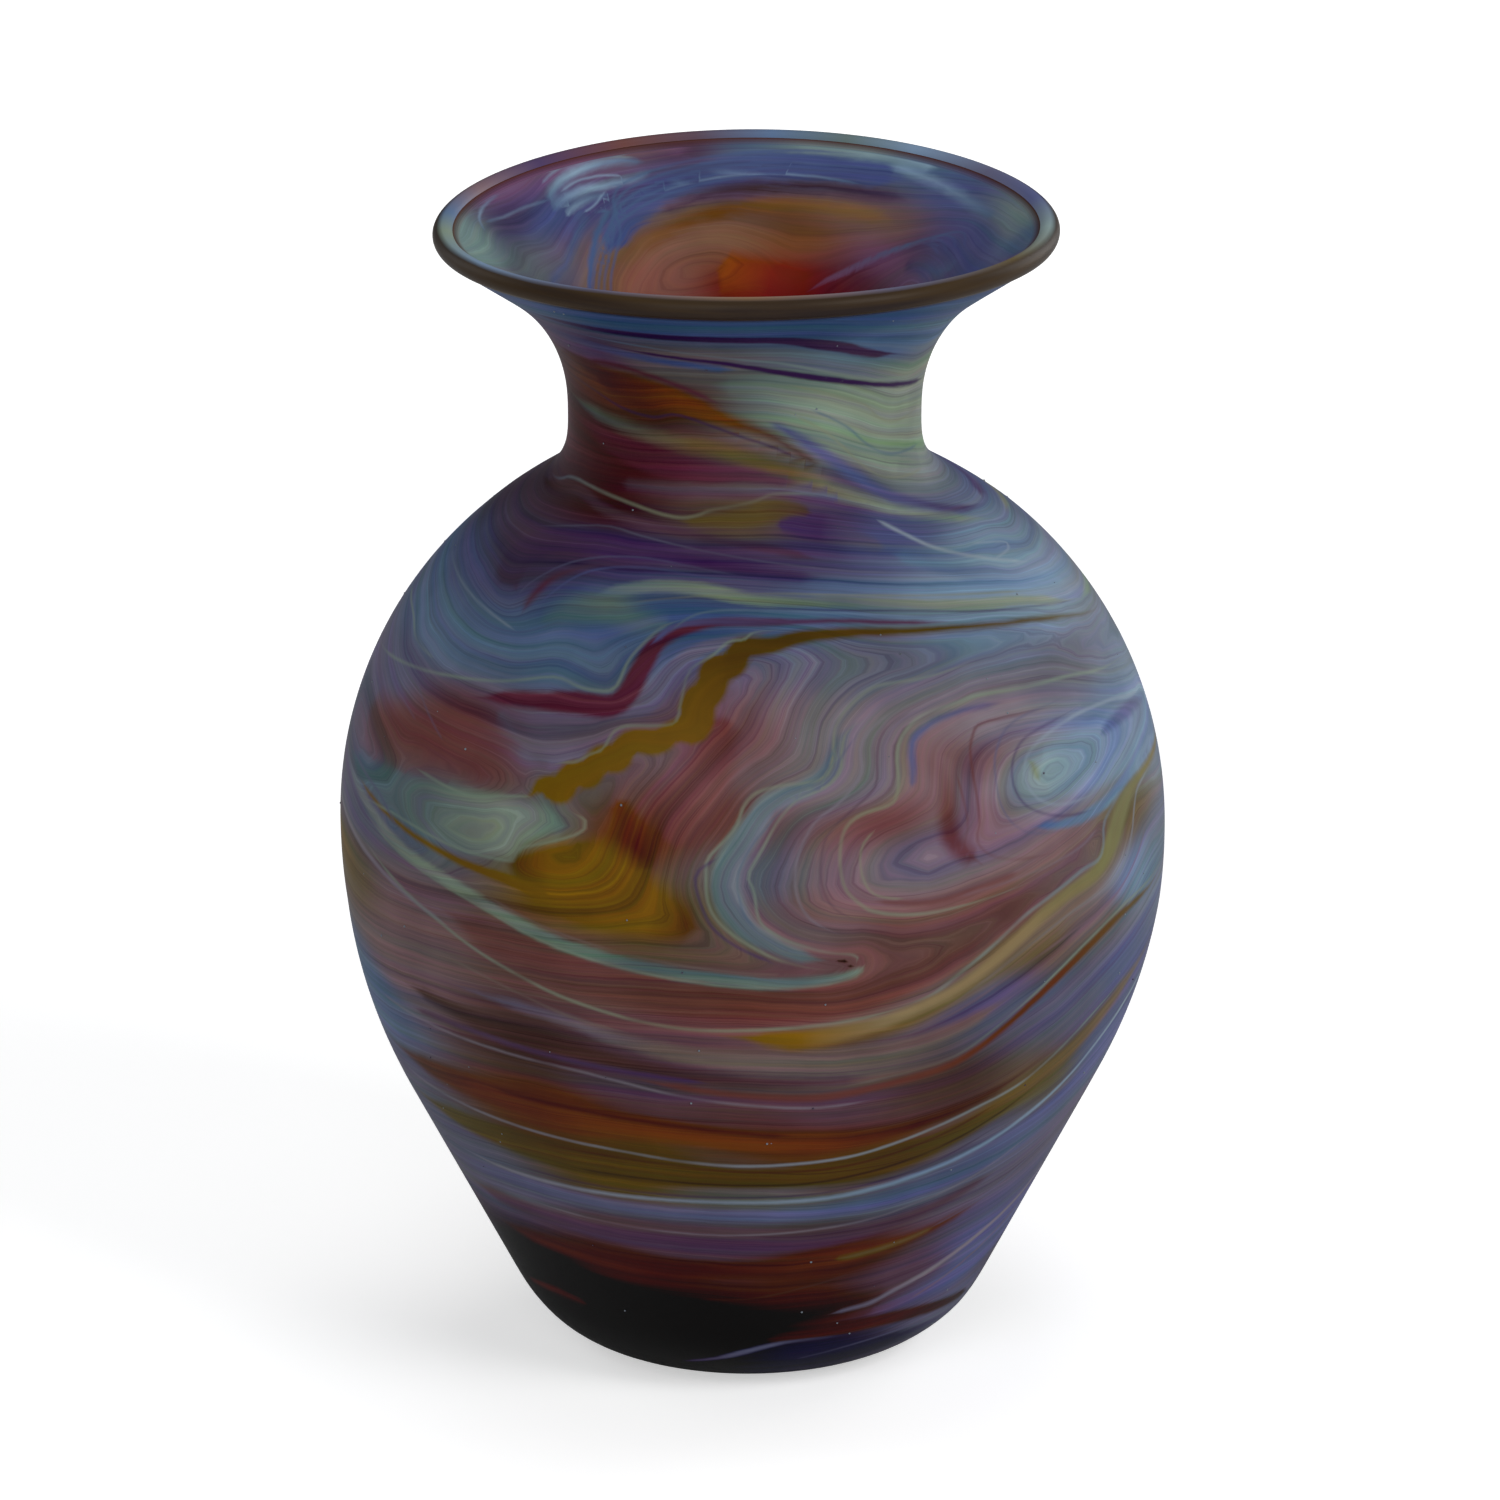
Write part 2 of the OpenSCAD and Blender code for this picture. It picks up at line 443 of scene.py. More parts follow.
    def thread(self, colours, places, width=0.3, guide=True):
        """A hairline."""
        self.streak("thread", colours, places, width * 0.75, 0.34, guide)

    def steer(self, places):
        """A course that the finest drawing follows, rising to its left, or right if set so."""
        self.guides.append((self.course(places, 0), self.uphill))

    def ground(self, marks):
        """The colour under the streaks, blended between marks of (colour, degrees, mm up).

        A mark reaches about twice as far round as up, and holds its colour for about 6 mm.
        """
        total, weight = np.zeros((len(self.turn), 3)), np.zeros(len(self.turn))
        for name, turn, up in marks:
            across = (self.turn - turn + 180) % 360 - 180
            across = across * np.radians(np.maximum(self.around, 12))
            rise = self.run - np.interp(up, self.heights, self.runs)
            pull = 1 / ((across * 0.75) ** 2 + (rise * 1.6) ** 2 + 34) ** 2
            total += pull[:, None] * colour_of(name)
            weight += pull
        kept = self.layer("ground")
        kept[:, :3] = total / weight[:, None]

    def flow(self, top):
        """A height map whose level lines run along the streaks, for the finest drawing."""
        cells, rings = FLOW_COLUMNS, FLOW_RINGS
        turn = (np.arange(cells) + 0.5) * 360 / cells - 180
        run = (np.arange(rings) + 0.5) * top / rings
        around = np.interp(run, self.runs, self.radii)
        grid_turn, grid_run = (a.ravel() for a in np.meshgrid(turn, run))
        grid_around = np.repeat(np.maximum(around, 8), cells)
        push = np.zeros((cells * rings, 2))
        weight = np.full(cells * rings, 1e-6)
        for course, uphill in self.guides:
            near, far, _, _, _, normal = self.nearest(course, STEER_REACH, grid_turn, grid_run,
                                                     grid_around)
            pull = 1 / (far ** 2 + 3) ** 2
            push[near] += normal * (pull * uphill)[:, None]
            weight[near] += pull
        push /= weight[:, None]
        size = np.maximum(np.hypot(*push.T), 0.25)[:, None]
        push = (push / size).reshape(rings, cells, 2)
        step_x = (np.radians(360 / cells) * np.maximum(around, 8))[:, None]
        step_y = top / rings

        def slope(level):
            return (np.roll(level, -1, 1) - level) / step_x, np.diff(level, axis=0) / step_y

        def spread(along_x, along_y):
            gathered = (np.roll(along_x, 1, 1) - along_x) / step_x
            gathered[:-1] -= along_y / step_y
            gathered[1:] += along_y / step_y
            return gathered

        wanted_x = (push[:, :, 0] + np.roll(push[:, :, 0], -1, 1)) / 2
        wanted_y = (push[:-1, :, 1] + push[1:, :, 1]) / 2
        level = np.repeat(run[:, None], cells, axis=1)
        left = spread(wanted_x, wanted_y) - spread(*slope(level))
        way = left.copy()
        power = (left ** 2).sum()
        for _ in range(FLOW_STEPS):
            pushed = spread(*slope(way))
            step = power / (way * pushed).sum()
            level += step * way
            left -= step * pushed
            power, before = (left ** 2).sum(), power
            way = left + way * power / before
        x = (self.turn + 180) % 360 * cells / 360 - 0.5
        y = np.clip(self.run / step_y - 0.5, 0, rings - 1.001)
        x0, y0 = np.floor(x).astype(int), np.floor(y).astype(int)
        fx, fy = x - x0, y - y0
        self.level = (
            (level[y0, x0 % cells] * (1 - fx) + level[y0, (x0 + 1) % cells] * fx) * (1 - fy)
            + (level[y0 + 1, x0 % cells] * (1 - fx) + level[y0 + 1, (x0 + 1) % cells] * fx) * fy)

    def store(self):
        """Writes each layer, and the flow, to the mesh as attributes."""
        for name, kept in self.layers.items():
            tint = self.mesh.attributes.new(name, "FLOAT_COLOR", "POINT")
            tint.data.foreach_set("color", kept[:, :4].astype(np.float32).ravel())
            edge = self.mesh.attributes.new(name + "_edge", "FLOAT_VECTOR", "POINT")
            edge.data.foreach_set("vector", kept[:, 4:7].astype(np.float32).ravel())
        flow = self.mesh.attributes.new("flow", "FLOAT", "POINT")
        flow.data.foreach_set("value", self.level.astype(np.float32))


def colour_of(name):
    """A named colour as linear light."""
    return ((np.array(COLOURS[name]) + 0.055) / 1.055) ** 2.4


COLOURS = {
    "night": (0.18, 0.13, 0.22), "violet": (0.22, 0.17, 0.28), "aubergine": (0.23, 0.18, 0.24),
    "dusk": (0.19, 0.26, 0.38), "steel": (0.26, 0.33, 0.43), "sky": (0.35, 0.42, 0.50),
    "ice": (0.43, 0.47, 0.51), "teal": (0.24, 0.31, 0.37), "sea": (0.28, 0.33, 0.33),
    "sage": (0.38, 0.43, 0.38), "straw": (0.39, 0.40, 0.33), "ochre": (0.34, 0.26, 0.02),
    "bronze": (0.30, 0.26, 0.17), "mustard": (0.26, 0.20, 0.03), "orange": (0.29, 0.16, 0.03),
    "umber": (0.22, 0.12, 0.03), "oxblood": (0.20, 0.10, 0.09), "wine": (0.27, 0.15, 0.19),
    "brick": (0.31, 0.19, 0.18), "rose": (0.33, 0.23, 0.23), "mauve": (0.36, 0.29, 0.31),
    "lavender": (0.31, 0.31, 0.36), "heather": (0.38, 0.36, 0.39), "slate": (0.28, 0.28, 0.36),
    "indigo": (0.25, 0.27, 0.40), "plum": (0.26, 0.20, 0.24), "brown": (0.23, 0.17, 0.16),
    "taupe": (0.34, 0.30, 0.28), "grey": (0.28, 0.27, 0.28), "agate": (0.33, 0.36, 0.38),
    "caramel": (0.37, 0.28, 0.11), "tan": (0.40, 0.35, 0.26), "khaki": (0.37, 0.36, 0.25),
    "rust": (0.33, 0.19, 0.05), "navy": (0.11, 0.10, 0.17), "olive": (0.12, 0.09, 0.02),
    "pitch": (0.02, 0.01, 0.01),
}

overlay = turned_piece("overlay", np.vstack([outside, joint_side[::-1]]),
                       np.concatenate([run_of(outside), -run_of(joint_side)[::-1]]), None)
paint = GlassPaint(overlay.data, outside, int(np.argmin(outside[:, 1])) + 2)

paint.ground([
    ("dusk", -60, 195), ("dusk", -20, 195), ("dusk", 20, 195), ("dusk", 60, 195),
    ("violet", -50, 184), ("grey", -20, 183), ("steel", 40, 187), ("sea", 15, 179),
    ("sage", 25, 174), ("sage", 45, 170), ("sage", 62, 164), ("orange", -45, 178),
    ("umber", -25, 177), ("oxblood", -60, 168), ("oxblood", -35, 164), ("wine", -20, 165),
    ("plum", -5, 163), ("violet", 30, 160), ("oxblood", -50, 156), ("bronze", 0, 157),
    ("violet", 22, 154), ("violet", -35, 151), ("aubergine", -48, 150), ("violet", -5, 151),
    ("indigo", 40, 153), ("sky", 60, 147), ("aubergine", -60, 147), ("dusk", -30, 144),
    ("dusk", -12, 145), ("slate", -8, 149), ("sky", 45, 142), ("sky", 62, 139), ("steel", 12, 145),
    ("indigo", -76, 143), ("steel", -74, 136), ("steel", -58, 135), ("steel", -40, 137),
    ("lavender", 20, 138), ("brick", -50, 124), ("brick", -42, 119), ("rose", -62, 117),
    ("slate", -75, 125), ("lavender", -34, 123), ("sea", -45, 110), ("sea", -32, 112),
    ("teal", -55, 108), ("ochre", -26, 102), ("orange", -18, 112), ("bronze", -14, 101),
    ("brick", -8, 116), ("rose", 2, 128), ("lavender", 2, 106), ("heather", 10, 128),
    ("heather", 17, 120), ("mauve", 8, 100), ("rose", 20, 93), ("heather", 25, 108),
    ("brick", 20, 114), ("mauve", 32, 112), ("rose", 34, 122), ("heather", 40, 126),
    ("ice", 48, 116), ("sky", 60, 116), ("steel", 66, 119), ("lavender", 60, 129),
    ("sky", 75, 114), ("bronze", 65, 104), ("bronze", 42, 87), ("rose", 35, 96),
    ("mauve", 50, 103), ("rose", 0, 85), ("rose", -30, 88), ("mauve", -55, 90),
    ("slate", -72, 103), ("bronze", -75, 91), ("taupe", 15, 75), ("slate", 38, 80),
    ("taupe", 56, 89), ("sky", 66, 92), ("mauve", -60, 79), ("brown", -35, 73), ("plum", -18, 68),
    ("plum", 12, 62), ("brown", 30, 65), ("slate", 52, 74), ("indigo", 66, 76),
    ("orange", -30, 60), ("orange", 10, 57), ("mustard", -20, 50), ("mustard", 20, 51),
    ("bronze", 48, 61), ("grey", 0, 46), ("slate", 30, 44), ("slate", -55, 40), ("plum", -10, 34),
    ("slate", 45, 50), ("indigo", 66, 62), ("umber", -25, 27), ("umber", 18, 30),
    # Partly painted shade: the pitch and navy marks low on the front darken the foot towards the
    # floor.
    ("pitch", -30, 18), ("pitch", -55, 12), ("umber", 12, 20), ("pitch", -10, 13),
    ("plum", 35, 24), ("indigo", 55, 26), ("pitch", -30, 7), ("pitch", -45, 22), ("navy", 14, 8),
    ("slate", 60, 12), ("navy", -70, 14), ("slate", -75, 50), ("steel", -72, 70),
    ("indigo", 110, 190), ("wine", 150, 188), ("steel", 180, 192), ("violet", -150, 188),
    ("dusk", -110, 192), ("sage", 100, 170), ("umber", 130, 176), ("oxblood", 165, 168),
    ("sea", -170, 176), ("violet", -140, 172), ("wine", -100, 166), ("aubergine", -110, 150),
    ("teal", -130, 142), ("indigo", 120, 150), ("sea", 150, 145), ("violet", 180, 152),
    ("lavender", 120, 128), ("rose", 150, 120), ("mauve", 180, 128), ("brick", -150, 118),
    ("sea", -120, 112), ("slate", -100, 122), ("steel", 105, 108), ("bronze", 130, 98),
    ("heather", 165, 104), ("rose", -170, 92), ("ochre", -130, 96), ("taupe", 120, 78),
    ("plum", 160, 72), ("indigo", -110, 74), ("orange", 180, 58), ("mustard", -140, 50),
    ("bronze", 120, 56), ("slate", 140, 42), ("grey", -170, 40), ("indigo", 110, 32),
    # Partly painted shade: the pitch and navy marks low on the back darken the foot towards the
    # floor.
    ("umber", 170, 26), ("plum", -120, 30), ("pitch", 140, 14), ("pitch", -170, 10),
    ("navy", -120, 10), ("olive", 90, 14)])

# Under the lip and round the flare
paint.pool("dusk", [(-80, 194), (-40, 195), (0, 195), (40, 195), (80, 194)], 2.6, 1.5)
paint.streak("band", "night night aubergine", [
    (-60, 191, 0.7), (-40, 191, 1), (-20, 191, 1.3), (0, 191, 1.4), (10, 190.5, 1.6),
    (18, 189, 1.9), (25, 187.5, 1.6), (35, 185, 1), (50, 182.5, 0.4)], soft=0.5)
paint.pool("steel", [(24, 189.5, 0.8), (35, 188, 1.6), (50, 186, 2.2), (75, 184, 2.4)], soft=0.8)
paint.streak("band", "violet dusk", [
    (-80, 186, 1.2), (-50, 186, 1.4), (-25, 185, 1), (0, 183.5, 0.7)], soft=0.8)
paint.thread("steel sage sage", [
    (-60, 188.5), (-30, 188), (-20, 187.5), (0, 186), (10, 185), (20, 183), (30, 181), (40, 179),
    (50, 178), (60, 177), (72, 177.5), (90, 176)], 0.4)
paint.streak("line", "night", [
    (-45, 187, 0.3), (-10, 185.5, 0.5), (0, 184.5, 0.6), (20, 181.5, 0.7), (45, 177.5, 0.5),
    (60, 175.5, 0.5), (80, 173.5, 0.3)], soft=0.4)
paint.pool("sea sage sage", [
    (-12, 180.5, 0.6), (5, 180, 1.6), (20, 177, 3.5), (35, 173, 5.5), (50, 169, 6.5),
    (70, 166, 7)], soft=2)
paint.thread("straw", [(10, 181), (25, 178), (40, 174.5), (48, 171), (58, 169), (80, 169)], 0.2)
paint.thread("teal", [(18, 176), (34, 171), (44, 166.5), (56, 163.5), (80, 162)], 0.25)
paint.thread("straw", [(12, 175.5), (28, 170), (42, 163), (55, 159.5), (80, 158)], 0.25)
paint.streak("band", "umber umber rust rust brown brown", [
    (-75, 181, 1.2), (-52, 180, 1.8), (-45, 178.5, 2.6), (-30, 177.5, 3), (-20, 176.5, 2.2),
    (-12, 175, 1.6), (-5, 173.5, 1.1), (5, 171.5, 0.8), (12, 169.5, 0.7), (20, 166.5, 0.6),
    (30, 162.5, 0.5)], soft=1.4)
paint.streak("line", "oxblood wine", [
    (-70, 182, 0.4), (-52, 181, 0.5), (-45, 182, 0.5), (-35, 182, 0.5), (-20, 180, 0.4),
    (-5, 176, 0.3)], soft=0.8)
paint.thread("night", [
    (-80, 176.5), (-57, 175.5), (-42, 173.5), (-30, 173), (-20, 174), (0, 170.5), (10, 168.5),
    (20, 165.5)], 0.35)
paint.streak("band", "slate indigo violet", [
    (5, 174, 0.2), (12, 172, 0.5), (20, 169, 0.9), (30, 165, 0.9), (40, 161, 0.9),
    (50, 157.5, 0.9), (60, 155, 0.8), (70, 152.5, 0.8), (88, 150, 0.7)], soft=0.9)
paint.streak("band", "sea bronze bronze sage sage", [
    (-80, 172, 0.8), (-60, 171, 0.9), (-40, 170, 1), (-20, 169, 1.3), (-10, 168.5, 1.4),
    (0, 167, 1.4), (10, 165, 1.3), (20, 163, 1.3), (30, 160, 1.2), (40, 157.5, 1), (50, 155, 1),
    (60, 153, 0.9), (70, 151, 0.8), (85, 148, 0.6)], soft=1.4)
paint.streak("band", "oxblood wine plum", [
    (-85, 169, 1.4), (-62, 168, 1.7), (-50, 166.5, 2), (-30, 165, 2.3), (-20, 164.5, 2),
    (-10, 164, 1.6), (0, 164, 1.2), (10, 163, 0.8), (20, 162, 0.5)], soft=0.8)
paint.streak("band", "plum grey slate", [
    (-45, 160, 0.1), (-30, 160.5, 0.7), (0, 161.5, 0.9), (20, 161, 0.8), (35, 158, 0.5)], soft=1.3)

# Round the shoulder
paint.thread("steel straw straw teal", [
    (-95, 155), (-78, 156), (-70, 157.5), (-60, 158), (-40, 157.5), (-22, 156.5), (-15, 157),
    (-10, 158), (3, 159.5), (8, 160.5), (15, 160.5), (22, 160), (30, 159), (42, 156)], 0.35)
paint.streak("band", "bronze bronze brown", [
    (-22, 156, 0.3), (-10, 156.5, 0.9), (0, 157, 1.6), (8, 158, 1.9), (15, 158, 1.2),
    (22, 157, 0.4)], soft=0.8)
paint.streak("band", "oxblood plum aubergine", [
    (-95, 154, 0.5), (-75, 155, 0.8), (-60, 156.5, 0.9), (-45, 155.5, 0.9), (-30, 155, 0.8),
    (-10, 154, 0.7), (0, 153.5, 0.8), (10, 152.5, 0.9), (20, 151, 0.6)], soft=0.7)
paint.pool("violet violet slate", [
    (8, 156, 0.6), (18, 155.5, 2.6), (26, 154, 2.6), (38, 151, 1.2)], soft=1.2)
paint.pool("aubergine violet violet", [
    (-52, 143, 2.2), (-60, 147, 4), (-52, 151, 3), (-35, 152, 2), (-15, 151.5, 1.4), (5, 150, 1),
    (20, 149, 0.6)], soft=1.2)
paint.thread("lavender", [
    (-70, 150), (-45, 153.5), (-30, 153.5), (-10, 152.5), (10, 151), (25, 149.5), (40, 148)], 0.2)
paint.uphill = -1
paint.thread("slate", [
    (8, 149), (-20, 151), (-35, 150.5), (-45, 148.5), (-51, 145), (-52, 142.5)], 0.25)
paint.thread("indigo", [(10, 148), (-20, 150), (-35, 149), (-42, 146.5), (-46, 142)], 0.3)
paint.uphill = 1
paint.streak("line", "plum wine plum violet", [
    (-48, 140.5, 0.1), (-48, 144, 0.7), (-45, 147, 0.6), (-35, 149.5, 0.3),
    (-15, 150.3, 0.1)], soft=1.2)
paint.pool("teal sea teal", [
    (-44, 140, 0.5), (-38, 143, 2.4), (-30, 144.5, 3), (-22, 143.5, 2), (-14, 143, 0.3)], soft=2.4)
paint.streak("band", "teal sage sea sage sage", [
    (-36, 145, 0.6), (-30, 146.5, 1.2), (-20, 148, 1.2), (-10, 148, 1.2), (0, 147, 1.2),
    (10, 146.5, 1.1), (20, 146, 1.1), (30, 145, 1.1), (40, 143.5, 1.1), (50, 142, 1.1),
    (60, 140.5, 1), (70, 138, 0.9), (85, 134, 0.8)], soft=0.7)
paint.thread("straw", [
    (-28, 145), (-18, 146.5), (-5, 147.5), (10, 147.5), (30, 146), (50, 143.5), (70, 140)], 0.22)
paint.thread("night", [
    (-5, 146), (10, 145.5), (30, 144), (50, 141), (65, 138.5), (80, 135.5)], 0.22)
paint.streak("line", "ice", [
    (40, 155, 0.2), (44, 153, 0.4), (50, 150, 0.4), (60, 147, 0.3), (75, 143, 0.2)], soft=0.6)
paint.thread("ice", [(60, 149), (72, 147), (72.5, 146), (62, 146)], 0.2)
paint.streak("band", "steel sky", [
    (36, 151, 1), (50, 147, 1.8), (64, 143, 1.8), (82, 138, 1.5)], soft=1.4)
paint.thread("sea sky", [
    (-16, 142), (-12, 144.5), (-6, 145.5), (5, 145.5), (20, 144.5), (40, 142)], 0.25)
paint.streak("line", "indigo wine", [
    (-19, 140, 0.5), (-15, 143, 0.5), (-8, 144, 0.5), (5, 144, 0.5), (20, 143.5, 0.4),
    (45, 140.5, 0.3)], soft=0.5)

# The jagged ochre streak and what runs beside it
paint.thread("teal ice", [(-95, 142), (-80, 141.5), (-60, 140), (-46, 138.5)], 0.25)
paint.thread("sage", [(-95, 133.5), (-80, 133), (-72, 131), (-62, 130.5)], 0.3)
paint.thread("sage sage straw", [
    (-95, 124), (-80, 126), (-70, 127.5), (-60, 129), (-45, 131.5), (-35, 134), (-29, 133.3),
    (-24, 133.5), (-22.7, 135), (-22, 138), (-20, 140.5), (-17, 143), (-12, 144.5)], 0.35)
paint.streak("band", "wine wine wine wine plum", [
    (-52, 127.5, 0.4), (-42, 129.5, 1.3), (-30, 131, 2), (-23, 131.4, 2), (-20.5, 134, 2),
    (-19, 138, 1.8), (-17, 141, 1.4), (-12, 143, 1), (-5, 144, 0.7), (5, 144, 0.5),
    (15, 144, 0.3)], soft=0.7)
paint.streak("band", "lavender slate lavender", [
    (-30, 129, 0.5), (-19, 131, 1), (-16, 133, 1.6), (-13.5, 137, 1.6), (-10, 140, 1.3),
    (-2, 142, 0.7), (6, 143, 0.4)], soft=0.6)
paint.streak("line", "ochre ochre ochre mustard mustard mustard", [
    (-37, 115.3, 0.2), (-33.5, 116, 1.2), (-32, 118, 1.7), (-28.5, 118, 2.4), (-27.5, 120.7, 2),
    (-24.5, 121, 2.4), (-23.5, 123.7, 2), (-20.5, 124, 2.5), (-19, 126.6, 2), (-14.5, 127, 2.2),
    (-12, 128.8, 1.8), (-9, 129.5, 2.8), (-8.5, 133, 3), (-6.5, 135, 2.5), (-6, 137.5, 2.8),
    (-3, 138.5, 2.3), (-1.5, 140.6, 2), (4, 141, 1.5), (10, 142, 1.2), (20, 142, 0.9),
    (30, 141.2, 0.7), (40, 140.3, 0.6), (50, 139, 0.5), (60, 137.5, 0.5), (70, 135.5, 0.5),
    (85, 132, 0.5), (104, 130, 0.3)], soft=0.8)
paint.thread("straw sage", [
    (-32, 120.5), (-29.5, 122), (-27, 122.5), (-25, 124), (-23, 125), (-22, 127.5), (-20, 128.8),
    (-15, 129.3), (-12, 130), (-11.5, 133), (-11, 136.5), (-10, 138), (-7, 139.5), (-4, 141.5),
    (-1, 141.8), (1, 142.8), (10, 143.2)], 0.3)
paint.pool("brick brick rose", [
    (-80, 117.5, 1), (-70, 118, 3), (-60, 120, 4), (-50, 121, 3.6), (-42, 122.5, 1.8),
    (-34, 124.5, 0.2)], soft=4)
paint.streak("band", "lavender grey", [
    (-44, 127.5, 0.1), (-36, 123.5, 1), (-31, 120.5, 0.3)], soft=2.2)
paint.thread("slate", [(-75, 126), (-68, 123.5), (-60, 121)], 0.2, False)
paint.thread("slate", [(-66, 127), (-60, 124), (-52, 120)], 0.2, False)
paint.thread("sage", [(-33, 116), (-38, 115), (-45, 113.5), (-58, 114.5)], 0.3)
paint.pool("teal sea sage sea", [
    (-84, 108.5, 1), (-60, 109, 3.6), (-45, 109.5, 5), (-34, 110.5, 4.4),
    (-26, 112.5, 1.6)], soft=1.4)
paint.thread("sage sage straw", [
    (-75, 104), (-60, 105.5), (-45, 104.5), (-35, 105), (-34.5, 107), (-29, 109.5), (-25, 111.5),
    (-24, 113.5), (-27, 115)], 0.3)
paint.pool("umber ochre ochre caramel umber", [
    (-37, 104, 1), (-29, 105, 4.6), (-22, 103.5, 7), (-14, 100, 5), (-6, 97, 1)], soft=2.6)
paint.streak("line", "ochre", [
    (-75, 107, 0.2), (-60, 104.5, 0.4), (-45, 102.5, 0.6), (-34, 101.5, 0.9),
    (-28, 100, 1)], soft=0.6)
paint.pool("orange umber", [(-20, 118, 1.2), (-17, 112, 2.2), (-16, 106, 2)], soft=2)
paint.pool("brick rose brick", [
    (-4, 132, 1.5), (-6, 125, 4), (-9, 118, 4), (-11, 110, 2.5)], soft=2)

# The agate band, its knot and the hook that runs back to the left
paint.thread("sage straw sage straw", [
    (60, 135), (40, 135), (30, 134.5), (22, 134.5), (17, 132.5), (14, 130), (13, 128), (12.5, 125),
    (11.5, 122.5), (9, 121.3), (5, 121), (1, 120), (-1, 118), (-2, 115), (-4, 112), (-6, 109.5),
    (-6.3, 107), (-6, 102), (-4, 98), (0, 94.5), (4, 92), (9, 90.3), (13, 90.2)], 0.35)
paint.streak("band", "lavender agate agate agate sea", [
    (20, 131, 0.5), (14.5, 127.5, 1.2), (12, 123, 1.7), (8, 120.3, 1.6), (3, 118.5, 1.8),
    (0.5, 115, 2.1), (-2, 111, 2.3), (-3.5, 107, 2.4), (-3, 102, 2.5), (-1, 98, 2), (3, 94.8, 1.4),
    (7, 92.6, 1.1), (11, 91.5, 0.8)], soft=0.8)
paint.thread("teal sea", [
    (17, 130), (12.5, 125.5), (10, 121.8), (4, 119.5), (0, 116.5), (-3, 111.5), (-4.6, 107),
    (-4.4, 101.5), (-2, 97)], 0.2)
paint.thread("slate teal", [
    (18.5, 129.5), (14, 125), (11.5, 121.3), (6, 118.5), (2.5, 115), (-0.5, 110.5), (-2, 106),
    (-1, 100), (2, 96.4)], 0.2)
paint.thread("straw sage sage", [
    (24, 131), (16, 129), (14, 126), (13.5, 123), (11, 120.5), (7, 119), (5, 117), (3.5, 115),
    (2, 112), (0.5, 109), (-0.5, 106.5), (0.3, 104), (1, 99), (4, 96), (8, 94), (11, 93),
    (13.5, 92.5), (14.5, 91.5), (14, 90.5)], 0.3)
paint.streak("line", "olive", [(11.5, 91.6, 0.1), (12.8, 91.4, 0.3)], soft=0.3, guide=False)
paint.streak("line", "olive", [(12.5, 90.6, 0.1), (14, 90.4, 0.25)], soft=0.3, guide=False)
paint.streak("band", "sage sea sea sage slate", [
    (15.5, 91, 0.3), (14.5, 89.5, 0.6), (11, 88.5, 0.8), (5, 88, 1), (0, 88.3, 1.1),
    (-10, 89.5, 1.1), (-20, 91, 1.1), (-30, 93.3, 1.1), (-42, 97.3, 1), (-57, 100.5, 1),
    (-75, 105.5, 0.9), (-90, 108, 0.6)], soft=0.7)
paint.thread("sage", [
    (14, 88.3), (8, 87.2), (0, 87.3), (-10, 88.3), (-20, 90), (-30, 92.3), (-42, 96.2),
    (-57, 99.4), (-75, 104)], 0.25)
paint.thread("taupe", [(8, 89.5), (0, 89.8), (-10, 91), (-20, 92.7), (-30, 95), (-42, 99)], 0.25)
paint.thread("violet", [
    (-4, 110), (-7.5, 107), (-7.3, 103), (-5.5, 98), (-2, 94.5), (4, 91)], 0.35)
paint.thread("heather", [
    (28, 132.5), (20, 129), (17, 126), (16.5, 122), (13, 118), (9, 115), (6.5, 110), (6, 104),
    (8, 99), (13, 95.5)], 0.3)
paint.thread("plum", [
    (30, 131.5), (22, 128.5), (19.5, 125), (18.5, 120), (14.5, 116.5), (10.5, 112.5), (9.5, 106),
    (11, 101), (15, 98)], 0.25)

# The second hooked hairline, the nest inside it and the pale pool
paint.thread("sage sage straw straw sage", [
    (95, 122), (80, 124.8), (70, 126.5), (60, 128.5), (50, 129.5), (40, 130.5), (35, 130.2),
    (28, 129.3), (24, 127), (22.5, 124), (22.2, 121), (21.5, 118), (20, 116.7), (16, 115.8),
    (13.5, 114), (12.5, 111), (12.3, 107), (13, 103.5), (15, 101), (16.5, 99.8), (20, 98.7),
    (26, 98.2), (38, 99.3), (46, 100.5)], 0.38)
paint.streak("band", "slate indigo slate", [
    (45, 128.5, 0.4), (33, 128.8, 0.5), (26, 126.5, 0.7), (24.7, 122, 0.7),
    (24, 118.5, 0.5)], soft=0.7)
paint.thread("wine brick brick rose", [
    (60, 125), (40, 126.5), (36, 125), (34.5, 121), (34, 112), (33, 109), (35, 106), (40, 104),
    (48, 103.2)], 0.35)
paint.thread("brick", [(31.5, 121), (32, 112), (31, 108), (34, 104)], 0.3)
paint.pool("mauve brick rose", [
    (30, 124, 1), (29.5, 117, 1.6), (29, 110, 1.8), (33, 105, 1.2)], soft=1.5)
paint.thread("straw", [(18, 113.5), (15.5, 110.5), (15.3, 106), (17, 102.5), (22, 101)], 0.22)
paint.thread("violet", [
    (62, 123.8), (48, 123), (43, 121), (41, 117), (42, 113), (45, 110.5), (50, 108.5),
    (58, 107.3)], 0.35)
paint.thread("slate", [
    (60, 126), (45, 125.5), (39.5, 122), (38, 117), (38.5, 112), (42, 108), (50, 106)], 0.3)
paint.pool("ice sky steel", [
    (46, 117, 2.6), (52, 116, 4.6), (62, 115.5, 5), (76, 115, 4.6), (92, 113, 4)], soft=1.3)
paint.thread("ice", [
    (95, 116), (80, 119), (70, 121.5), (60, 122.7), (52, 122.2), (46, 120.5), (43.7, 118),
    (43.7, 115), (46, 112), (51, 110.3), (60, 110)], 0.4)
paint.streak("band", "straw", [
    (45.2, 119, 0.1), (45.6, 117.5, 0.6), (46, 115, 0.1)], soft=1.2, guide=False)
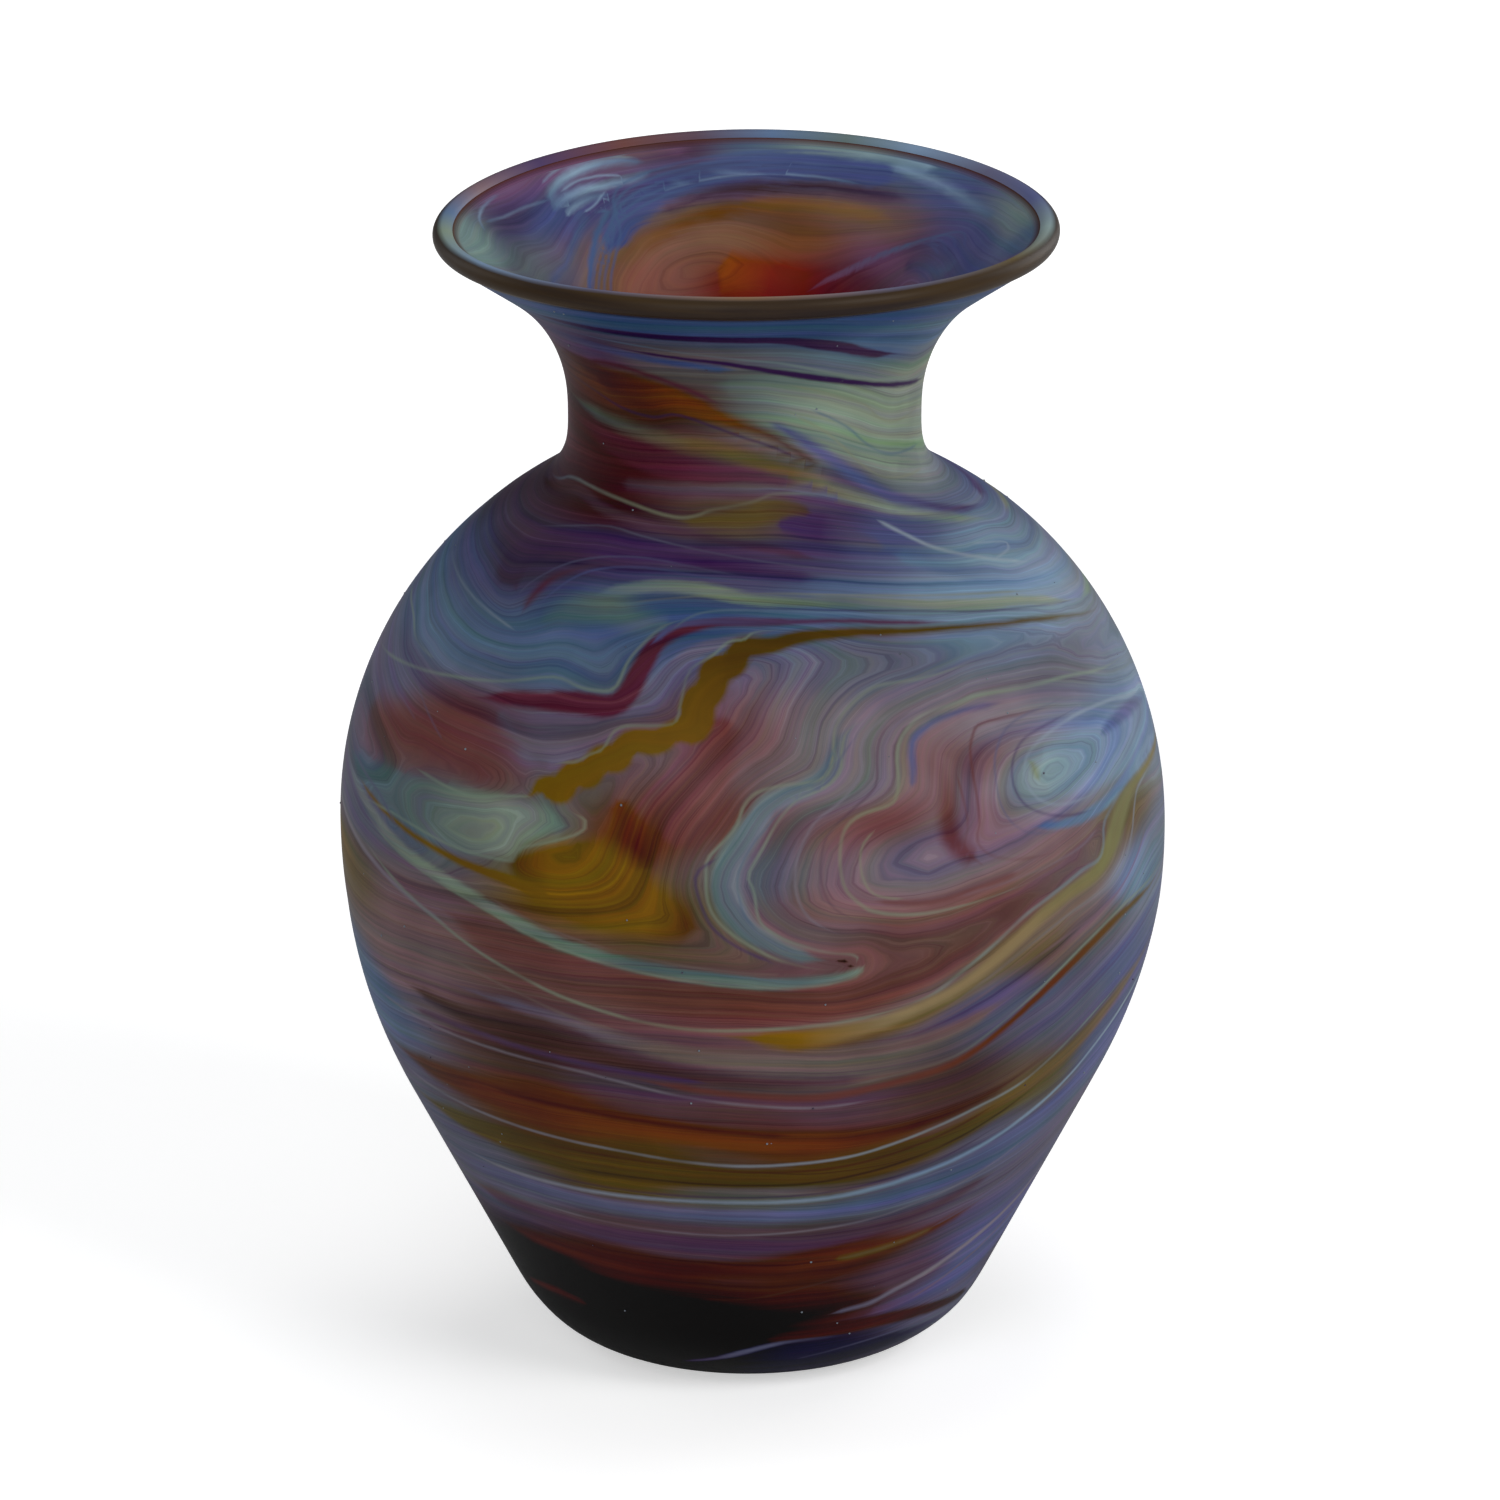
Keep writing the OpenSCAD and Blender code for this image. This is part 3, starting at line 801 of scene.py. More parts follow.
paint.streak("band", "steel indigo steel", [
    (62, 118, 0.3), (70, 118.5, 1.2), (80, 117.5, 1), (92, 115, 0.5)], soft=0.8)
paint.streak("band", "steel sky", [
    (42, 109, 0.4), (50, 107.3, 0.8), (58, 107.5, 1), (65, 109, 1), (72, 110, 1),
    (90, 109.5, 1)], soft=0.6)
paint.thread("mauve heather", [
    (28, 100), (36, 100.7), (45, 101.5), (52, 102.5), (57, 104.5)], 0.25)
paint.uphill = -1
paint.thread("sage sky", [
    (20, 82), (25, 83.5), (30, 87), (35, 90.5), (40, 94), (46, 96.5), (52, 98.5), (56, 99),
    (57.5, 101), (58, 104), (59.5, 105.5), (63, 107.3), (68, 108.8), (75, 109.3),
    (92, 108.5)], 0.45)
paint.pool("caramel bronze taupe taupe", [
    (0, 76, 0.6), (10, 76.5, 1.2), (22, 79.5, 1.6), (35, 86, 1.6), (48, 93, 1.6), (58, 97, 1.5),
    (66, 103, 1)], soft=1.4)
paint.streak("line", "ochre caramel tan tan khaki khaki ochre", [
    (-8, 78.7, 0.3), (0, 78, 1), (5, 77.7, 1.6), (10, 78, 1.6), (15, 79, 1.3), (20, 80.3, 1.1),
    (30, 84.3, 1.1), (40, 91, 1.2), (47, 95, 1.3), (55, 97, 1.5), (60, 101, 2.2), (64, 105, 1.9),
    (70, 107.5, 0.9), (88, 108, 0.6), (104, 106, 0.3)], soft=0.9)
paint.thread("taupe ice", [
    (24, 78.5), (33, 84), (40, 88), (48, 91.5), (55, 93), (60, 94), (63, 96), (66, 100), (68, 104),
    (71, 106.5), (80, 107.5)], 0.35)
paint.thread("mauve", [
    (20, 76), (30, 80), (40, 85), (50, 88.5), (60, 91), (68, 96), (74, 102)], 0.3)
paint.uphill = 1
paint.streak("line", "rose", [
    (16, 101.5, 0.3), (25, 100, 0.6), (33, 101, 0.5), (40, 102, 0.3)], soft=0.6)

# The lower belly, where the colours lie in long level swags
paint.uphill = -1
paint.pool("rose brick rose", [
    (-50, 94, 2), (-30, 88.5, 3.2), (-10, 84.5, 3.6), (10, 84, 3.4), (24, 88, 2.6),
    (36, 95, 2)], soft=1.6)
paint.thread("sage sage straw sage", [
    (-75, 100), (-62, 95.5), (-55, 93), (-48, 90.5), (-42, 88), (-35, 85.5), (-28, 83), (-20, 81),
    (-15, 80), (-8, 79.3), (0, 79.5), (8, 80), (15, 80.8), (24, 82.7)], 0.4)
paint.thread("taupe", [
    (-68, 81), (-60, 83), (-52, 84.5), (-45, 84.3), (-35, 82), (-25, 79), (-15, 77.5)], 0.3)
paint.thread("slate", [(-85, 111.5), (-75, 109), (-65, 107), (-58, 103)], 0.4)
paint.streak("line", "heather", [
    (-90, 100, 0.3), (-78, 98, 0.5), (-60, 94, 0.4), (-45, 90, 0.3)], soft=0.5)
paint.pool("ochre bronze", [(-92, 93, 2), (-80, 92, 3), (-72, 90, 2)], soft=1.6)
paint.streak("band", "slate taupe taupe taupe", [
    (-50, 80, 0.6), (-30, 79, 0.9), (-20, 76.5, 1.2), (-10, 74.5, 1.6), (0, 73.5, 1.9),
    (10, 73, 2), (20, 74, 1.8), (30, 76.5, 1.3), (40, 81, 0.7)], soft=1)
paint.streak("band", "brown brown plum", [
    (-60, 76, 0.8), (-45, 75, 1.4), (-30, 73.5, 1.6), (-10, 70.5, 1.4), (5, 69, 1),
    (20, 69.5, 0.6)], soft=1)
paint.streak("line", "brick brick orange bronze", [
    (-20, 69.5, 0.3), (-10, 68, 0.6), (0, 66.7, 0.7), (10, 66, 0.8), (20, 67.5, 0.7),
    (30, 69.5, 0.7), (38, 74.5, 0.7), (45, 79.5, 0.8), (52, 83.5, 0.8), (60, 86.5, 0.8),
    (68, 87.5, 0.6), (85, 88, 0.4)], soft=0.6)
paint.thread("taupe sage straw", [
    (10, 67.5), (20, 69), (30, 71), (38, 76), (45, 80.8), (52, 84.8), (60, 87.7), (68, 88.8),
    (88, 89)], 0.3)
paint.streak("line", "plum violet", [
    (-58, 71.5, 0.4), (-45, 72, 0.5), (-20, 70.3, 0.4), (-5, 69, 0.3)], soft=0.6)
paint.thread("heather", [
    (-70, 70), (-60, 70), (-30, 69.3), (-20, 68.2), (-10, 66.2), (0, 64.8), (10, 64),
    (20, 65)], 0.35)
paint.streak("band", "brown orange rust rust umber brown", [
    (-78, 60, 1), (-60, 60, 2), (-50, 60, 2.6), (-40, 60.3, 2.6), (-30, 59.7, 2.5),
    (-20, 59.4, 2.4), (-10, 58.6, 2.2), (0, 57.2, 1.8), (10, 56.5, 1.5), (20, 57, 1.3),
    (30, 59, 1.1), (40, 62, 0.7), (50, 67, 0.4)], soft=1.3)
paint.streak("line", "umber", [
    (-45, 61.5, 0.2), (-25, 61, 0.5), (-8, 59.8, 0.5), (8, 58, 0.3)], soft=0.8)
paint.thread("heather ice sage", [
    (-75, 56), (-66, 55.7), (-50, 55), (-30, 54), (-20, 53.5), (-10, 52.5), (0, 52), (13, 52.7),
    (20, 54), (30, 57), (36, 59), (44, 61.5), (50, 65), (60, 71), (75, 77)], 0.4)
paint.streak("band", "bronze mustard mustard mustard bronze taupe", [
    (-78, 51, 1), (-60, 51, 2), (-45, 50.7, 2.8), (-30, 50.3, 3), (-20, 50, 3), (-10, 49.5, 2.7),
    (0, 49.2, 2.3), (10, 49.3, 2.3), (20, 50.5, 2.6), (30, 53, 2.7), (40, 57, 2.5), (50, 62, 2.4),
    (60, 68, 2), (70, 73, 1.6), (88, 78, 1)], soft=1.2)
paint.thread("umber", [(-40, 52), (-20, 52), (0, 50.7), (15, 51), (30, 54.5), (42, 59.5)], 0.35)
paint.thread("olive", [
    (-35, 48), (-20, 48), (0, 47.7), (12, 48), (28, 51), (42, 56.5), (55, 64)], 0.35)
paint.thread("night", [(-50, 45), (-20, 44.8), (0, 45), (15, 45.7), (30, 48.5), (45, 54.5)], 0.3)
paint.streak("line", "heather sky ice", [
    (-72, 43, 0.2), (-50, 43, 0.3), (-30, 43.2, 0.4), (-10, 43.8, 0.4), (10, 44, 0.5),
    (20, 45, 0.5), (30, 47, 0.5), (40, 49.7, 0.5), (50, 54, 0.5), (57, 58, 0.4), (65, 63.5, 0.4),
    (76, 69, 0.4), (90, 71, 0.4)], soft=0.5)
paint.pool("slate indigo indigo", [
    (-75, 42, 2), (-50, 41, 2), (-20, 40.5, 1.6), (10, 41, 1.8), (30, 43.5, 2.2), (50, 49, 3.2),
    (68, 57, 4.5), (88, 62, 5)], soft=1.6)
paint.thread("heather", [
    (-50, 37.5), (-20, 36.5), (0, 36.5), (20, 38), (30, 40), (42, 43), (58, 50)], 0.3)
paint.streak("band", "plum aubergine plum", [
    (-70, 35, 1.4), (-40, 34.5, 2.2), (-10, 34, 2.4), (15, 35, 2), (35, 38.5, 1.4),
    (50, 43, 0.8)], soft=1.2)
paint.streak("band", "umber umber orange umber", [
    (-65, 28, 0.8), (-45, 28, 1.5), (-30, 28, 1.9), (-10, 28.5, 2), (5, 29, 1.9), (15, 30, 1.9),
    (25, 31, 1.7), (38, 33.5, 1), (52, 38, 0.5)], soft=1.4)
paint.streak("line", "bronze", [
    (16, 30, 0.2), (22, 30.5, 0.6), (30, 31.7, 0.4), (38, 33.5, 0.2)], soft=0.9)
paint.thread("slate", [(35, 33), (48, 37), (60, 43), (75, 52)], 0.35)

# The foot, nearly black on its left, with pale streaks to the right. The near-black is
# partly the glass's own colour and partly painted shade, darker towards the floor.
paint.pool("navy pitch pitch pitch olive umber", [
    (-92, 14, 1), (-80, 14, 4), (-60, 14, 7), (-30, 14.5, 8), (-5, 15.5, 6), (12, 17.5, 3),
    (26, 20, 0.6), (34, 21.5, -1)], soft=4.5)
paint.streak("band", "umber", [(-66, 15, 0.4), (-52, 16, 1.2), (-40, 15.5, 0.5)], soft=1.2)
paint.thread("brown", [(-12, 21.5), (0, 22), (12, 24.3), (22, 26.5)], 0.25)
paint.streak("line", "slate heather heather", [
    (16, 17, 0.2), (22, 18, 0.4), (28, 18.7, 0.5), (33, 20.5, 0.5), (40, 22.5, 0.6), (50, 26, 0.6),
    (60, 29.5, 0.6), (67, 32, 0.6), (80, 37.5, 0.5), (94, 39.5, 0.4)], soft=0.6)
paint.pool("plum indigo indigo", [
    (26, 15, 1), (38, 17.5, 2.4), (52, 20, 4), (70, 26, 5), (88, 30, 5)], soft=2)
paint.thread("mauve", [(38, 17), (48, 20), (60, 24.5), (72, 29.5)], 0.4)
paint.streak("band", "olive umber olive", [
    (2, 12.3, 0.4), (10, 13, 1.3), (30, 14, 1.6), (50, 13, 1.4), (70, 12, 0.8)], soft=0.8)
# Partly painted shade: this dark band darkens the bottom of the foot.
paint.pool("pitch pitch navy navy slate", [
    (-50, 6, 2), (-20, 6.5, 2), (2, 7.5, 2), (20, 8, 2.6), (45, 8, 2.4), (65, 7, 2.4)], soft=1.2)
paint.streak("line", "violet slate slate navy", [
    (-22, 5.5, 0.2), (-10, 7.5, 0.4), (-5, 8.7, 0.6), (0, 10, 0.6), (5, 11.2, 0.5), (12, 12, 0.3),
    (30, 12, 0.2)], soft=0.5)
paint.thread("slate", [(10, 7), (24, 9), (38, 10.2), (50, 10)], 0.3)

# Round the back, where the same colours fold over once more
paint.uphill = 1
paint.pool("dusk", [(80, 194), (130, 195), (180, 195), (230, 195), (280, 194)], 2.6, 1.5)
paint.streak("band", "night aubergine night", [
    (96, 188, 0.4), (120, 189, 1.2), (160, 190.5, 1.6), (210, 190.5, 1.4),
    (262, 191, 0.6)], soft=0.7)
paint.thread("sage steel steel", [
    (90, 176), (118, 177.5), (150, 182), (190, 186.5), (240, 188.5), (300, 188.5)], 0.4)
paint.pool("sage sage sea", [
    (70, 166, 6), (95, 165, 5.5), (122, 168, 3.6), (150, 173, 0.8)], soft=2)
paint.streak("band", "brown umber umber umber brown", [
    (112, 168, 0.5), (138, 173, 1.8), (165, 177, 2.6), (205, 180, 2.2), (245, 181, 1.5),
    (285, 181, 1.2)], soft=1.1)
paint.streak("band", "violet indigo violet", [
    (86, 150.5, 0.8), (108, 152, 1.4), (132, 158, 1.7), (158, 166, 1.6),
    (184, 171.5, 0.8)], soft=0.9)
paint.streak("band", "wine oxblood oxblood", [
    (140, 157, 0.5), (170, 163, 1.8), (205, 168, 2.3), (245, 170, 1.8), (275, 169, 1.4)], soft=0.9)
paint.streak("band", "sage bronze sea sea", [
    (85, 148, 0.6), (112, 148, 1), (142, 153, 1.4), (178, 163, 1.3), (220, 171.5, 1),
    (280, 172, 0.8)], soft=0.8)
paint.thread("teal straw straw steel", [
    (84, 147), (112, 146), (145, 150.5), (182, 159), (222, 160), (265, 155.5)], 0.35)
paint.pool("violet aubergine aubergine violet", [
    (104, 139, 1), (132, 144, 3), (170, 150, 4), (212, 151, 3.4), (258, 146, 1.5)], soft=1.8)
paint.streak("band", "oxblood wine oxblood", [
    (176, 154, 0.4), (206, 156, 1), (240, 156, 1), (266, 154, 0.5)], soft=0.8)
paint.pool("steel dusk steel", [
    (200, 142, 1), (228, 142.5, 3), (262, 141, 3), (288, 138, 2)], soft=2)
paint.streak("band", "sage sea sage sage", [
    (80, 135, 0.8), (104, 134, 1.1), (136, 141, 1.3), (170, 146, 1.3), (208, 146.5, 1),
    (252, 142, 0.5)], soft=0.8)
paint.thread("night indigo", [
    (96, 136), (128, 142.5), (166, 147.8), (210, 148.5), (250, 145)], 0.3)
paint.thread("sage sage straw", [
    (120, 121), (130, 124), (147, 130), (156, 136.5), (168, 141.5), (188, 143.5),
    (222, 143)], 0.35)
paint.streak("band", "wine wine wine plum", [
    (122, 121, 0.5), (138, 125, 1.6), (150, 130, 2), (158, 136, 2), (170, 140.3, 1.3),
    (196, 142, 0.5)], soft=0.7)
paint.streak("line", "ochre ochre ochre mustard mustard", [
    (136, 110.5, 0.3), (142, 112.5, 1.8), (146, 116.5, 2), (152, 118.5, 2.6), (156, 123.5, 2.2),
    (163, 126, 3), (167, 131.5, 2.6), (175, 134.5, 2.4), (184, 138, 1.8), (202, 139.5, 1),
    (230, 138, 0.7), (262, 133, 0.3)], soft=0.5)
paint.thread("straw sage", [
    (143, 116.5), (149, 120), (153.5, 125), (160, 128), (164, 133.5), (174, 138), (188, 141),
    (210, 141.5)], 0.3)
paint.pool("brick brick rose", [
    (96, 117, 1), (110, 117, 3), (126, 116.5, 3.6), (138, 118, 1)], soft=3)
paint.pool("teal sea sea", [
    (92, 109, 1), (106, 107.5, 3.4), (122, 106.5, 3.8), (136, 107, 1)], soft=1.4)
paint.pool("umber ochre ochre umber", [
    (138, 103, 1), (148, 103, 4), (158, 99.5, 4.4), (170, 96, 1.5)], soft=2)
paint.pool("brick rose brick", [
    (172, 130, 1), (166, 120, 3.6), (162, 111, 3.4), (162, 104, 1.5)], soft=2.4)
paint.streak("band", "lavender agate agate sea", [
    (206, 130.5, 0.4), (197, 127, 1.3), (190, 121.5, 1.6), (182, 117, 2), (177, 110, 2.2),
    (176, 103, 2.3), (181, 96.5, 1.8), (190, 92, 1)], soft=0.8)
paint.thread("sage straw sage", [
    (240, 133.5), (212, 133.5), (199, 129), (192, 124.5), (183, 120.5), (174, 114), (172, 104),
    (177, 96), (188, 91)], 0.35)
paint.thread("straw sage", [
    (214, 130), (201, 127), (196, 121), (187, 115.5), (182, 109.5), (181, 103), (186, 97),
    (195, 92)], 0.3)
paint.streak("band", "sage sea sea slate", [
    (198, 90.5, 0.4), (190, 87.5, 0.9), (172, 87, 1.1), (150, 90.5, 1.1), (124, 97.5, 1),
    (100, 104, 0.8)], soft=0.7)
paint.thread("sage taupe", [(190, 85.8), (172, 85.5), (148, 89), (122, 96), (98, 102)], 0.25)
paint.thread("sage straw sage", [
    (268, 124), (242, 128.5), (222, 127.5), (209, 123), (204, 117), (195, 112.5), (192, 106),
    (199, 99.5), (214, 97), (232, 99)], 0.38)
paint.pool("mauve brick rose", [
    (222, 122, 1), (212, 115, 2.6), (206, 108, 2.6), (212, 103, 1)], soft=2)
paint.pool("ice sky steel", [
    (222, 114.5, 1), (231, 114.5, 4), (246, 113, 4), (262, 111, 2)], soft=1.5)
paint.thread("ice", [
    (270, 117), (246, 120.5), (230, 120.5), (222, 116), (224, 111), (238, 108)], 0.4)
paint.uphill = -1
paint.thread("sage sky", [
    (196, 82), (212, 86), (226, 93), (240, 98), (252, 101.5), (270, 104.5)], 0.4)
paint.streak("line", "ochre caramel tan ochre", [
    (186, 80, 0.4), (202, 81, 1.1), (218, 86.5, 1.4), (232, 93, 1.8), (250, 95.5, 2.2),
    (272, 93, 1.4)], soft=0.8)
paint.pool("rose brick rose", [
    (110, 96, 1), (140, 90, 3), (170, 84, 3.4), (200, 86, 2.4), (218, 93, 1)], soft=1.8)
paint.thread("taupe straw straw", [
    (70, 100), (100, 95), (130, 88), (160, 81.5), (190, 79), (215, 82), (240, 88),
    (262, 90.5)], 0.35)
paint.streak("band", "taupe taupe slate", [
    (96, 92, 0.5), (130, 83.5, 1.5), (165, 77, 2), (200, 76, 1.6), (236, 80, 0.8)], soft=1)
paint.streak("line", "bronze orange brick brick", [
    (85, 88, 0.5), (106, 87.5, 0.8), (140, 80, 0.8), (175, 73, 0.7), (215, 71, 0.7),
    (262, 72, 0.4)], soft=0.7)
paint.thread("heather", [
    (96, 85), (130, 78.5), (165, 71.5), (205, 69), (250, 70), (290, 70)], 0.35)
paint.streak("band", "bronze brown orange rust brown", [
    (100, 82, 0.5), (128, 75, 1.2), (160, 67.5, 2), (196, 62.5, 2.4), (240, 60, 2.2),
    (284, 60, 1)], soft=1.3)
paint.thread("ice sage heather", [
    (75, 77), (100, 76), (132, 69), (165, 61.5), (200, 57), (245, 55.5), (290, 55.8)], 0.4)
paint.streak("band", "taupe bronze mustard mustard bronze", [
    (86, 78, 1), (108, 72.5, 1.6), (140, 63.5, 2.2), (172, 56.5, 2.6), (208, 52.5, 2.8),
    (250, 51, 2.2), (284, 51, 1)], soft=1.2)
paint.thread("olive umber", [(96, 72), (130, 63.5), (165, 55.5), (205, 50.5), (260, 48.5)], 0.35)
paint.streak("line", "ice sky heather", [
    (78, 69.7, 0.4), (90, 71, 0.4), (106, 68, 0.5), (138, 55.5, 0.5), (172, 48.5, 0.4),
    (210, 44.5, 0.4), (288, 43, 0.2)], soft=0.5)
paint.pool("indigo indigo slate", [
    (88, 62, 5), (112, 56, 4.6), (142, 48, 3.2), (178, 42, 2.2), (230, 40.5, 2),
    (285, 42, 2)], soft=1.8)
paint.streak("band", "plum aubergine plum", [
    (96, 52, 0.6), (130, 43.5, 1.6), (168, 36.5, 2.2), (215, 34, 2.3), (288, 35, 1.2)], soft=1.2)
paint.streak("line", "slate heather slate", [
    (82, 38.2, 0.4), (94, 39.5, 0.4), (110, 37, 0.5), (140, 29, 0.5), (170, 23.5, 0.3)], soft=0.6)
paint.streak("band", "umber orange umber umber", [
    (112, 41, 0.4), (145, 33, 1.4), (182, 29, 2), (235, 27.5, 1.9), (295, 28, 0.8)], soft=1.4)
paint.pool("indigo plum umber", [
    (88, 29, 5), (112, 25, 4.6), (140, 20, 3), (165, 18, 0.6)], soft=2.4)
# Partly painted shade: this near-black pool darkens the back of the foot towards the floor, as on
# the front.
paint.pool("umber pitch pitch pitch", [
    (150, 13, 0.6), (178, 13, 4), (215, 14, 7), (255, 14, 6), (272, 14, 3)], soft=3)
paint.thread("slate", [(80, 16), (104, 13.5), (130, 11.5), (156, 10)], 0.35)
paint.streak("band", "olive navy", [
    (70, 9, 0.4), (98, 8.5, 1.6), (132, 7, 1.8), (160, 6, 0.6)], soft=1)

# Courses with no colour of their own, which the finest drawing also follows
paint.uphill = 1
for unseen in (
        [(8, 138), (0, 134), (-5, 128), (-9, 120), (-11, 112), (-10, 104), (-5, 97.5), (1, 94)],
        [(12, 138), (7, 133), (4, 127), (-1, 122.5)],
        [(0, 92.5), (-6, 93), (-15, 94), (-26, 96), (-36, 99)],
        [(-10, 126), (-15, 117), (-16, 107), (-19, 101), (-27, 99.5), (-40, 102)],
        [(-16, 123), (-21, 114), (-22.5, 108), (-26, 104), (-33, 103), (-42, 104)],
        [(38, 163), (60, 160), (90, 159), (120, 163), (150, 170), (200, 176), (275, 176.5)],
        [(38, 169), (60, 166.5), (90, 167), (120, 171), (160, 177), (215, 181), (275, 183)],
        [(-95, 121), (-70, 121.5), (-50, 123), (-38, 126), (-26, 130)],
        [(-95, 116), (-70, 116.5), (-50, 117.5), (-40, 119), (-33, 121.5)],
        [(45, 128), (31, 127), (26.5, 123), (25.5, 118), (20, 114), (17, 109.5), (17.5, 105),
         (21, 102), (30, 101)],
        [(48, 126), (33, 125), (29.5, 121), (28.5, 115), (25, 111), (23.5, 107.5), (26, 104.5),
         (36, 102.8)],
        [(100, 117.5), (70, 119.5), (56, 119.5), (50, 117.5), (50, 114.5), (56, 112.5), (75, 112),
         (100, 110.5)],
        [(100, 116), (75, 117.5), (60, 117.5), (56, 116), (60, 114.5), (75, 114), (100, 112.5)],
        [(182, 135), (174, 130), (168, 121), (167, 110), (169, 100), (176, 92)],
        [(124, 118), (136, 121), (148, 126)],
        [(162, 122), (158, 112), (160, 104), (155, 98), (136, 98)],
        [(240, 125.5), (222, 124), (213, 120), (209, 114), (200, 109.5), (199, 104), (208, 100.5),
         (226, 101.5)]):
    paint.steer(unseen)
paint.flow(run_of(outside)[-1] / MM)


def drawn_glass_group():
    """Shader group: the painted layers, feathered and ruled along the flow of the glass."""
    group = bpy.data.node_groups.new("drawn_glass", "ShaderNodeTree")
    for label, low in (("Fine lines", 0.6), ("Feathering", 0.8), ("Thread strength", 0.62),
                       ("Brightness", 1.0)):
        group.interface.new_socket(label, in_out="INPUT",
                                   socket_type="NodeSocketFloat").default_value = low
    for label, kind in (("Color", "Color"), ("Grain", "Float")):
        group.interface.new_socket(label, in_out="OUTPUT", socket_type="NodeSocket" + kind)
    link = group.links.new

    def add(kind, **values):
        made = group.nodes.new(kind)
        for key, value in values.items():
            setattr(made, key, value)
        return made

    def feed(socket, value):
        if isinstance(value, bpy.types.NodeSocket):
            link(value, socket)
        else:
            socket.default_value = value

    def calc(operation, *values):
        made = add("ShaderNodeMath", operation=operation)
        for socket, value in zip(made.inputs, values):
            feed(socket, value)
        return made.outputs[0]

    def painted(name, stray):
        """A layer's colour, and its mask once the distance across it is moved by stray mm."""
        tint = add("ShaderNodeAttribute", attribute_name=name, attribute_type="GEOMETRY")
        edge = add("ShaderNodeAttribute", attribute_name=name + "_edge", attribute_type="GEOMETRY")
        wide = add("ShaderNodeSeparateXYZ")
        link(edge.outputs["Vector"], wide.inputs[0])
        across = calc("ADD", tint.outputs["Alpha"], stray)
        slack = calc("SUBTRACT", 1.4, wide.outputs[0])
        slack = calc("MINIMUM", calc("MAXIMUM", slack, 0.05), 0.75)
        across = calc("MAXIMUM", calc("ABSOLUTE", across), calc(
            "ADD", calc("SUBTRACT", wide.outputs[1], slack), stray))
        depth = calc("DIVIDE", calc("SUBTRACT", wide.outputs[0], across), wide.outputs[2])
        return tint.outputs["Color"], smoothstep(depth, -1.0, 1.0)

    def noise(place, level, scale, detail=3.0, rough=0.55, both=False):
        made = add("ShaderNodeTexNoise", noise_dimensions="4D")
        feed(made.inputs["Vector"], place)
        feed(made.inputs["W"], level)
        made.inputs["Scale"].default_value = scale
        made.inputs["Detail"].default_value = detail
        made.inputs["Roughness"].default_value = rough
        return (made.outputs["Fac"], made.outputs["Color"]) if both else made.outputs["Fac"]

    def blend(mask, first, second, mode="MIX"):
        made = add("ShaderNodeMix", data_type="RGBA", blend_type=mode)
        feed(made.inputs["Factor"], mask)
        feed(made.inputs["A"], first)
        feed(made.inputs["B"], second)
        return made.outputs["Result"]

    def smoothstep(value, low, high, start=0.0, end=1.0):
        made = add("ShaderNodeMapRange", interpolation_type="SMOOTHSTEP")
        feed(made.inputs["Value"], value)
        for label, number in zip(("From Min", "From Max", "To Min", "To Max"),
                                 (low, high, start, end)):
            made.inputs[label].default_value = number
        return made.outputs["Result"]

    given = add("NodeGroupInput").outputs
    place = add("ShaderNodeTexCoord").outputs["Object"]
    level = add("ShaderNodeAttribute", attribute_name="flow",
                attribute_type="GEOMETRY").outputs["Fac"]
    wander = noise(place, 0.0, 90.0, 2.0)
    drift = calc("ADD", level, wander)
    broad, hues = noise(place, calc("MULTIPLY", drift, 0.05), 7.0, 5.0, 0.72, both=True)
    fine = noise(place, calc("MULTIPLY", drift, 0.2), 9.0, 4.0, 0.62)
    ragged = noise(place, calc("MULTIPLY", level, 0.003), 260.0, 3.0, 0.6)
    feather = calc("MULTIPLY", given["Feathering"], calc(
        "MULTIPLY", calc("SUBTRACT", fine, 0.5), 2.0))
    tooth = calc("MULTIPLY", given["Feathering"], calc(
        "MULTIPLY", calc("SUBTRACT", ragged, 0.5), 1.8))
    stray = calc("ADD", feather, tooth)

    colour = add("ShaderNodeAttribute", attribute_name="ground",
                 attribute_type="GEOMETRY").outputs["Color"]
    for name in LAYERS["pool"] + LAYERS["band"]:
        tint, mask = painted(name, stray)
        colour = blend(mask, colour, tint)
    strength = given["Fine lines"]
    hue_shift = add("ShaderNodeVectorMath", operation="MULTIPLY_ADD")
    link(blend(0.55, hues, broad), hue_shift.inputs[0])
    hue_shift.inputs[1].default_value = (2.6, 2.6, 2.6)
    hue_shift.inputs[2].default_value = (-0.27, -0.3, -0.36)
    colour = blend(strength, colour, hue_shift.outputs[0], "MULTIPLY")
    crease = calc("MULTIPLY", smoothstep(fine, 0.46, 0.34), strength)
    colour = blend(crease, colour, (0.68, 0.6, 0.68, 1), "MULTIPLY")
    hair = calc("MULTIPLY", smoothstep(fine, 0.55, 0.68), strength)
    colour = blend(hair, colour, (1.3, 1.42, 1.4, 1), "MULTIPLY")
    for name in LAYERS["line"]:
        tint, mask = painted(name, calc("MULTIPLY", tooth, 0.6))
        colour = blend(mask, colour, tint)
    colour = blend(calc("MULTIPLY", strength, 0.55), colour, hue_shift.outputs[0], "MULTIPLY")
    uneven = smoothstep(noise(place, 3.0, 60.0, 2.0), 0.3, 0.6, 0.35, 1.0)
    for name in LAYERS["thread"]:
        tint, mask = painted(name, calc("MULTIPLY", tooth, 0.25))
        colour = blend(calc("MULTIPLY", mask, calc("MULTIPLY", uneven, given["Thread strength"])),
                       colour, tint)
    cloud = smoothstep(noise(place, 7.0, 45.0, 3.0), 0.25, 0.75, 0.88, 1.12)
    shade = calc("MULTIPLY", cloud, given["Brightness"])
    scaled = add("ShaderNodeVectorMath", operation="SCALE")
